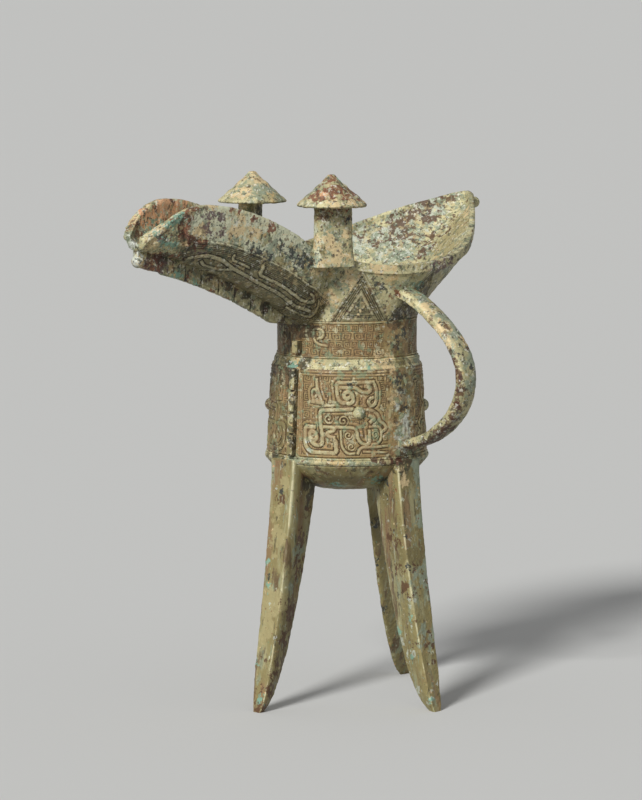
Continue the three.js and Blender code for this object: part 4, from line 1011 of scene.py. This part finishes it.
def handle():
    """A strap with a rounded outer face and a shallow hollow on its inner one, swept along its line."""
    rows = 280
    share = np.linspace(0, 1, rows)
    line = along(HANDLE, share)
    slope = np.gradient(line, axis=0)
    slope /= np.linalg.norm(slope, axis=1, keepdims=True)
    zero = np.zeros(rows)
    centres = np.stack([zero, -line[:, 0], line[:, 1]], axis=-1)
    outward = np.stack([zero, slope[:, 1], slope[:, 0]], axis=-1)
    corners = [
        (-1, -1), (-1, 0.4), (-0.6, 1), (0.6, 1), (1, 0.4), (1, -1),
        (0.66, -1), (0.57, -0.3), (-0.57, -0.3), (-0.66, -1),
    ]
    uneven = 1 + 0.05 * noise(centres, 9.0, 4)
    scale = np.stack([4.7 * uneven, 2.0 * uneven], axis=-1)
    return sweep("handle", centres, [1.0, 0, 0], outward, loop(corners, 84, 0.22), scale, PLAIN, 0.32, 0.7)


def leg(node):
    """A three-sided blade: each level has the outer face's half width and the depth to the inner edge."""
    top_end, sole_end = LEGS[node]
    z, half, depth = np.moveaxis(along(LEG_STATIONS, np.linspace(0, 1, 230)), -1, 0)
    bend = (1 - z / z[-1]) ** LEG_BEND
    depth = depth * (top_end[2] + (sole_end[2] - top_end[2]) * bend)
    top, sole = (reach * directions(degrees)[0] for degrees, reach, _ in (top_end, sole_end))
    centres = top + (sole - top) * bend[:, None]
    centres[:, 2] = z
    out, across = directions(sole_end[0])
    corners = [(-1, 0), (1, 0), (0.95, -0.25), (0.14, -1), (-0.14, -1), (-0.95, -0.25)]
    scale = np.stack([half, depth], axis=-1)
    return sweep(node, centres, across, out, loop(corners, 96, 0.07), scale, STREAKED, 0.3, 1.1)


def post(node, side):
    """An oblong bar with cut corners that spreads to its foot on the rim, turned towards the rim's run."""
    low, high = span(node)
    rows = 80
    share = np.linspace(0, 1, rows)
    long, thick = POST_SIZE[0] / 2, POST_SIZE[1] / 2
    cut, slant = 1.4 / long, 1.4 / thick
    corners = [
        (1, slant - 1), (1, 1 - slant), (1 - cut, 1), (cut - 1, 1),
        (-1, 1 - slant), (-1, slant - 1), (cut - 1, -1), (1 - cut, -1),
    ]
    centres = np.repeat([(low + high) / 2], rows, axis=0)
    centres[:, 2] = low[2] + share * (high[2] - low[2])
    scale = np.stack([long + 1.25 * (1 - share) ** 3, np.full(rows, thick)], axis=-1)
    across, outward = directions(side * POST_TURN)
    return sweep(node, centres, across, outward, loop(corners, 110, 0.12), scale, PLAIN, 0.2)


# A cap's outline from its middle below to its tip: shares of its radius and of its height
CAP_OUTLINE = np.array([
    [0.02, 0.07], [0.5, 0.05], [0.9, 0.01], [0.96, 0], [1, 0.04], [0.985, 0.08], [0.9, 0.17], [0.75, 0.31],
    [0.6, 0.46], [0.42, 0.64], [0.27, 0.79], [0.18, 0.88], [0.13, 0.94], [0.1, 0.985], [0.05, 1], [0.02, 1],
])


def cap(node):
    """A low cone with a thin worn edge, a faint whorl round it and a small flat tip."""
    low, high = span(node)
    centre = (low + high) / 2
    reach, tall = (high[0] - low[0]) / 2, high[2] - low[2]
    at = np.linspace(0, 1, 130)
    stations = along(CAP_OUTLINE * [reach, tall], at)
    cols = 220
    angle = np.linspace(0, 2 * np.pi, cols, endpoint=False)
    radius = np.maximum(stations[:, :1], 0.02) * np.ones(cols)
    upper = (smooth(0.36, 0.42, at) * smooth(0.92, 0.85, at))[:, None]
    whorl = 0.16 * np.sin(radius / reach * 22 + angle[None, :] * 2) * upper
    dents = noise(np.stack([np.cos(angle) * 9, np.sin(angle) * 9, 0 * angle + low[0]], axis=-1), 4.0, 6)
    radius = radius * (1 - 0.02 * np.maximum(dents, 0))
    points = np.stack([
        radius * np.cos(angle) + centre[0], radius * np.sin(angle) + centre[1], stations[:, 1:] + low[2] + whorl,
    ], axis=-1)
    return build(node + "_cast", points, False, PLAIN, node, 0.3)


# Flanges: the outline of the plate, half its thickness, how deep it is rooted, and how far it stands out
PLATE = [(-1, -0.4), (-1, 1), (1, 1), (1, -0.4)]
PLATE_HALF = 1.3
PLATE_ROOT = 0.6
BELLY_FLANGE_DEPTH, NECK_FLANGE_DEPTH = 2.2, 3.0


def flange(node, degrees, notches):
    """An upright flange: a plate on edge that drops back at each narrow notch. The neck's have none."""
    low, high = span(node)
    out, across = directions(degrees)
    rows = 190
    share = np.linspace(0, 1, rows)
    z = low[2] + share * (high[2] - low[2])
    taper = BELLY_TAPER * (z - BELLY_Z) / (BELLY_TOP_Z - BELLY_Z)
    wall = BELLY_LOW_R - taper if notches else np.full(rows, NECK_R)
    cuts = notched(share, [k / (notches + 1) for k in range(1, notches + 1)], 0.008, 0.016, 0.5)
    centres = np.outer(wall - PLATE_ROOT, out)
    centres[:, 2] = z
    depth = (BELLY_FLANGE_DEPTH if notches else NECK_FLANGE_DEPTH) * cuts + PLATE_ROOT
    scale = np.stack([np.full(rows, PLATE_HALF), depth], axis=-1)
    # The flanks get painted shade at the full share
    return sweep(node, centres, across, out, loop(PLATE, 44, 0.16), scale, PLAIN, 0.14, 0.4, 1.0, cuts)


def spout_flange():
    """The notched flange under the spout, with a round bead at its end by the lip."""
    low, high = span("spout_flange")
    rows = 420
    x = np.linspace(low[0] + 1.2, high[0], rows)
    floor = spout_floor(x, 0 * x)
    cuts = notched(x, along(SPOUT, np.array(SPOUT_NOTCHES))[:, 0], 0.3, 0.55, 0.4)
    tip = smooth(x[0] + 14, x[0] + 12, x)
    full = 1.4 + (4.4 - 0.6 * tip) * smooth(x[-1], x[-1] - 13, x)
    centres = np.stack([x, 0 * x, floor + 1.2], axis=-1)
    scale = np.stack([np.full(rows, PLATE_HALF), full * cuts + 1.2], axis=-1)
    section = loop([(-1, 0), (-1, 1), (1, 1), (1, 0)], 44, 0.16)
    # The flanks get painted shade at a share of 0.4
    sweep("spout_flange", centres, [0, 1.0, 0], [0, 0, -1.0], section, scale, PLAIN, 0.18, 0.5, 0.4, cuts)
    bead = np.array([low[0] + 2.4, 0, floor[0] - 5.2 + 1.8])
    ball("spout_bead_cast", "spout_flange", bead, 2.4)


def tail_flange():
    """The low notched flange under the tail, on the mouth's middle line."""
    rows = 170
    share = np.linspace(0, 1, rows)
    z = NECK_TOP_Z + (0.12 + 0.74 * share) * (MOUTH_RIM[0, 2] - LIP_HEIGHT - NECK_TOP_Z)
    r = mouth_radius(np.zeros(rows), z, np.ones(rows))
    cuts = notched(share, [0.2, 0.4, 0.6, 0.8], 0.01, 0.02, 0.5)
    centres = np.stack([r, 0 * r, z], axis=-1)
    slope = (centres[-1] - centres[0]) / np.linalg.norm(centres[-1] - centres[0])
    scale = np.stack([np.full(rows, PLATE_HALF), 2.4 * cuts], axis=-1)
    outward = [slope[2], 0, -slope[0]]
    return sweep("tail_flange", centres, [0, 1.0, 0], outward, loop(PLATE, 44, 0.2), scale, PLAIN, 0.15)


def ball(name, node, centre, radius):
    """A round knob, its poles closed by rings of almost no width."""
    lift = np.linspace(-np.pi / 2 + 0.02, np.pi / 2 - 0.02, 40)[:, None]
    turn = np.linspace(0, 2 * np.pi, 56, endpoint=False)[None, :]
    points = centre + radius * np.stack([
        np.cos(lift) * np.cos(turn), np.cos(lift) * np.sin(turn), np.sin(lift) + 0 * turn,
    ], axis=-1)
    return build(name, points, False, PLAIN, node, 0.06)


def knobs():
    """The four eyes of the masks, and the tail's knob: a short bar with a domed end."""
    for node in ("eye_spout_near", "eye_spout_far", "eye_tail_near", "eye_tail_far"):
        low, high = span(node)
        centre = (low + high) / 2
        turn = math.atan2(centre[1], centre[0])
        share = (centre[2] - BELLY_Z) / (BELLY_TOP_Z - BELLY_Z)
        r = BELLY_LOW_R - BELLY_TAPER * share - 0.9
        centre = np.array([r * math.cos(turn), r * math.sin(turn), centre[2]])
        ball(node + "_cast", node, centre, 2.5)
    low, high = span("tail_knob")
    radius, half = (high[1] - low[1]) / 2, 30
    straight = high[0] - low[0] - radius
    reach = np.concatenate([np.linspace(0, straight, half), np.full(half, straight)])
    lift = np.concatenate([np.zeros(half), np.linspace(0, np.pi / 2 - 0.02, half)])
    middle = np.full(2 * half, (low[2] + high[2]) / 2)
    centres = np.stack([low[0] + reach + radius * np.sin(lift), 0 * reach, middle], axis=-1)
    turn = np.linspace(0, 2 * np.pi, 48, endpoint=False)
    scale = np.stack([radius * np.cos(lift)] * 2, axis=-1)
    section = np.stack([np.cos(turn), np.sin(turn)], axis=-1)
    sweep("tail_knob", centres, [0, 1.0, 0], [0, 0, 1.0], section, scale, PLAIN, 0.1)


# Stage

# The photograph's camera: direction round the vessel, distance and height in mm, focal length in image widths
CAMERA_TURN, CAMERA_REACH, CAMERA_HEIGHT, FOCAL_WIDTHS = -48.0, 1500.0, 285.0, 3850 / 642
IMAGE_WIDTH, IMAGE_HEIGHT = 642, 800
AXIS_COLUMN, GROUND_ROW = 347.0, 696.0
SENSOR_WIDTH = 36
# The key light: direction and height in degrees, the first from the camera's, then strength and apparent size
KEY_TURN, KEY_LIFT, KEY_STRENGTH, KEY_SIZE = -27, 34, 3.0, 13
SURROUND = 0.34


def stage():
    """A wide pale floor that keeps the shadow, one broad soft key from the front left and an even surround. The
    floor is pale to the camera and in reflections, and darker to the light that it throws back up."""
    bpy.ops.mesh.primitive_circle_add(vertices=96, radius=60, fill_type="NGON", location=(0, 0, 0))
    floor = bpy.context.object
    floor.name = "floor"
    pale = bpy.data.materials.new("plain_pale_floor")
    pale.use_nodes = True
    tree = pale.node_tree
    ray = add(tree, "LightPath")
    direct = add(tree, "Math", {0: ray.outputs["Is Camera Ray"], 1: ray.outputs["Is Glossy Ray"]}, operation="MAXIMUM")
    direct = add(tree, "Math", {0: direct.outputs[0], 1: ray.outputs["Is Transmission Ray"]}, operation="MAXIMUM")
    tint = add(tree, "Mix", {0: direct.outputs[0], 6: linear("#8f8f8d"), 7: linear("#d2d2cf")}, data_type="RGBA")
    tree.links.new(tint.outputs[2], tree.nodes["Principled BSDF"].inputs["Base Color"])
    tree.nodes["Principled BSDF"].inputs["Roughness"].default_value = 0.9
    floor.data.materials.append(pale)
    world = bpy.data.worlds.new("soft_studio")
    bpy.context.scene.world = world
    world.use_nodes = True
    even = world.node_tree.nodes["Background"]
    even.inputs["Color"].default_value = linear("#f2f3f5")
    even.inputs["Strength"].default_value = SURROUND
    key = bpy.data.lights.new("key", "SUN")
    key.energy, key.angle = KEY_STRENGTH, math.radians(KEY_SIZE)
    holder = bpy.data.objects.new("key", key)
    turn, lift = math.radians(CAMERA_TURN + KEY_TURN), math.radians(KEY_LIFT)
    towards = Vector((math.sin(turn) * math.cos(lift), -math.cos(turn) * math.cos(lift), math.sin(lift)))
    holder.rotation_euler = towards.to_track_quat("Z", "Y").to_euler()
    bpy.context.collection.objects.link(holder)


def camera():
    """Stands where the vessel's axis falls on the photograph's column and its foot on the photograph's row."""
    turn = math.radians(CAMERA_TURN)
    focal = FOCAL_WIDTHS * IMAGE_WIDTH
    out = Vector((math.sin(turn), -math.cos(turn), 0))
    right = Vector((math.cos(turn), math.sin(turn), 0))
    yaw = math.atan((AXIS_COLUMN - IMAGE_WIDTH / 2) / focal)
    pitch = math.atan(CAMERA_HEIGHT / CAMERA_REACH) - math.atan((GROUND_ROW - IMAGE_HEIGHT / 2) / focal)
    level = -out * math.cos(yaw) - right * math.sin(yaw)
    side = right * math.cos(yaw) - out * math.sin(yaw)
    ahead = level * math.cos(pitch) - Vector((0, 0, math.sin(pitch)))
    up = side.cross(ahead)
    place = Matrix((side, up, -ahead)).transposed().to_4x4()
    place.translation = (out * CAMERA_REACH + Vector((0, 0, CAMERA_HEIGHT)) + Vector(AXIS)) * MM
    lens = bpy.data.cameras.new("studio_camera")
    lens.sensor_fit = "HORIZONTAL"
    lens.sensor_width = SENSOR_WIDTH
    lens.lens = FOCAL_WIDTHS * SENSOR_WIDTH
    holder = bpy.data.objects.new("studio_camera", lens)
    holder.matrix_world = place
    bpy.context.collection.objects.link(holder)
    bpy.context.scene.camera = holder


camera()
belly()
bowl()
ridge()
shoulder()
neck_and_mouth()
spout()
handle()
for leg_name in LEGS:
    leg(leg_name)
for which, y_side in (("near", -1), ("far", 1)):
    post(f"post_{which}", y_side)
    cap(f"cap_{which}")
for which, degrees in (("spout_side", 180), ("tail_side", 0), ("plain_side", 90)):
    flange(f"belly_flange_{which}", degrees, 3)
    flange(f"neck_flange_{which}", degrees, 0)
spout_flange()
tail_flange()
knobs()
stage()

bpy.context.scene.view_settings.view_transform = "Standard"
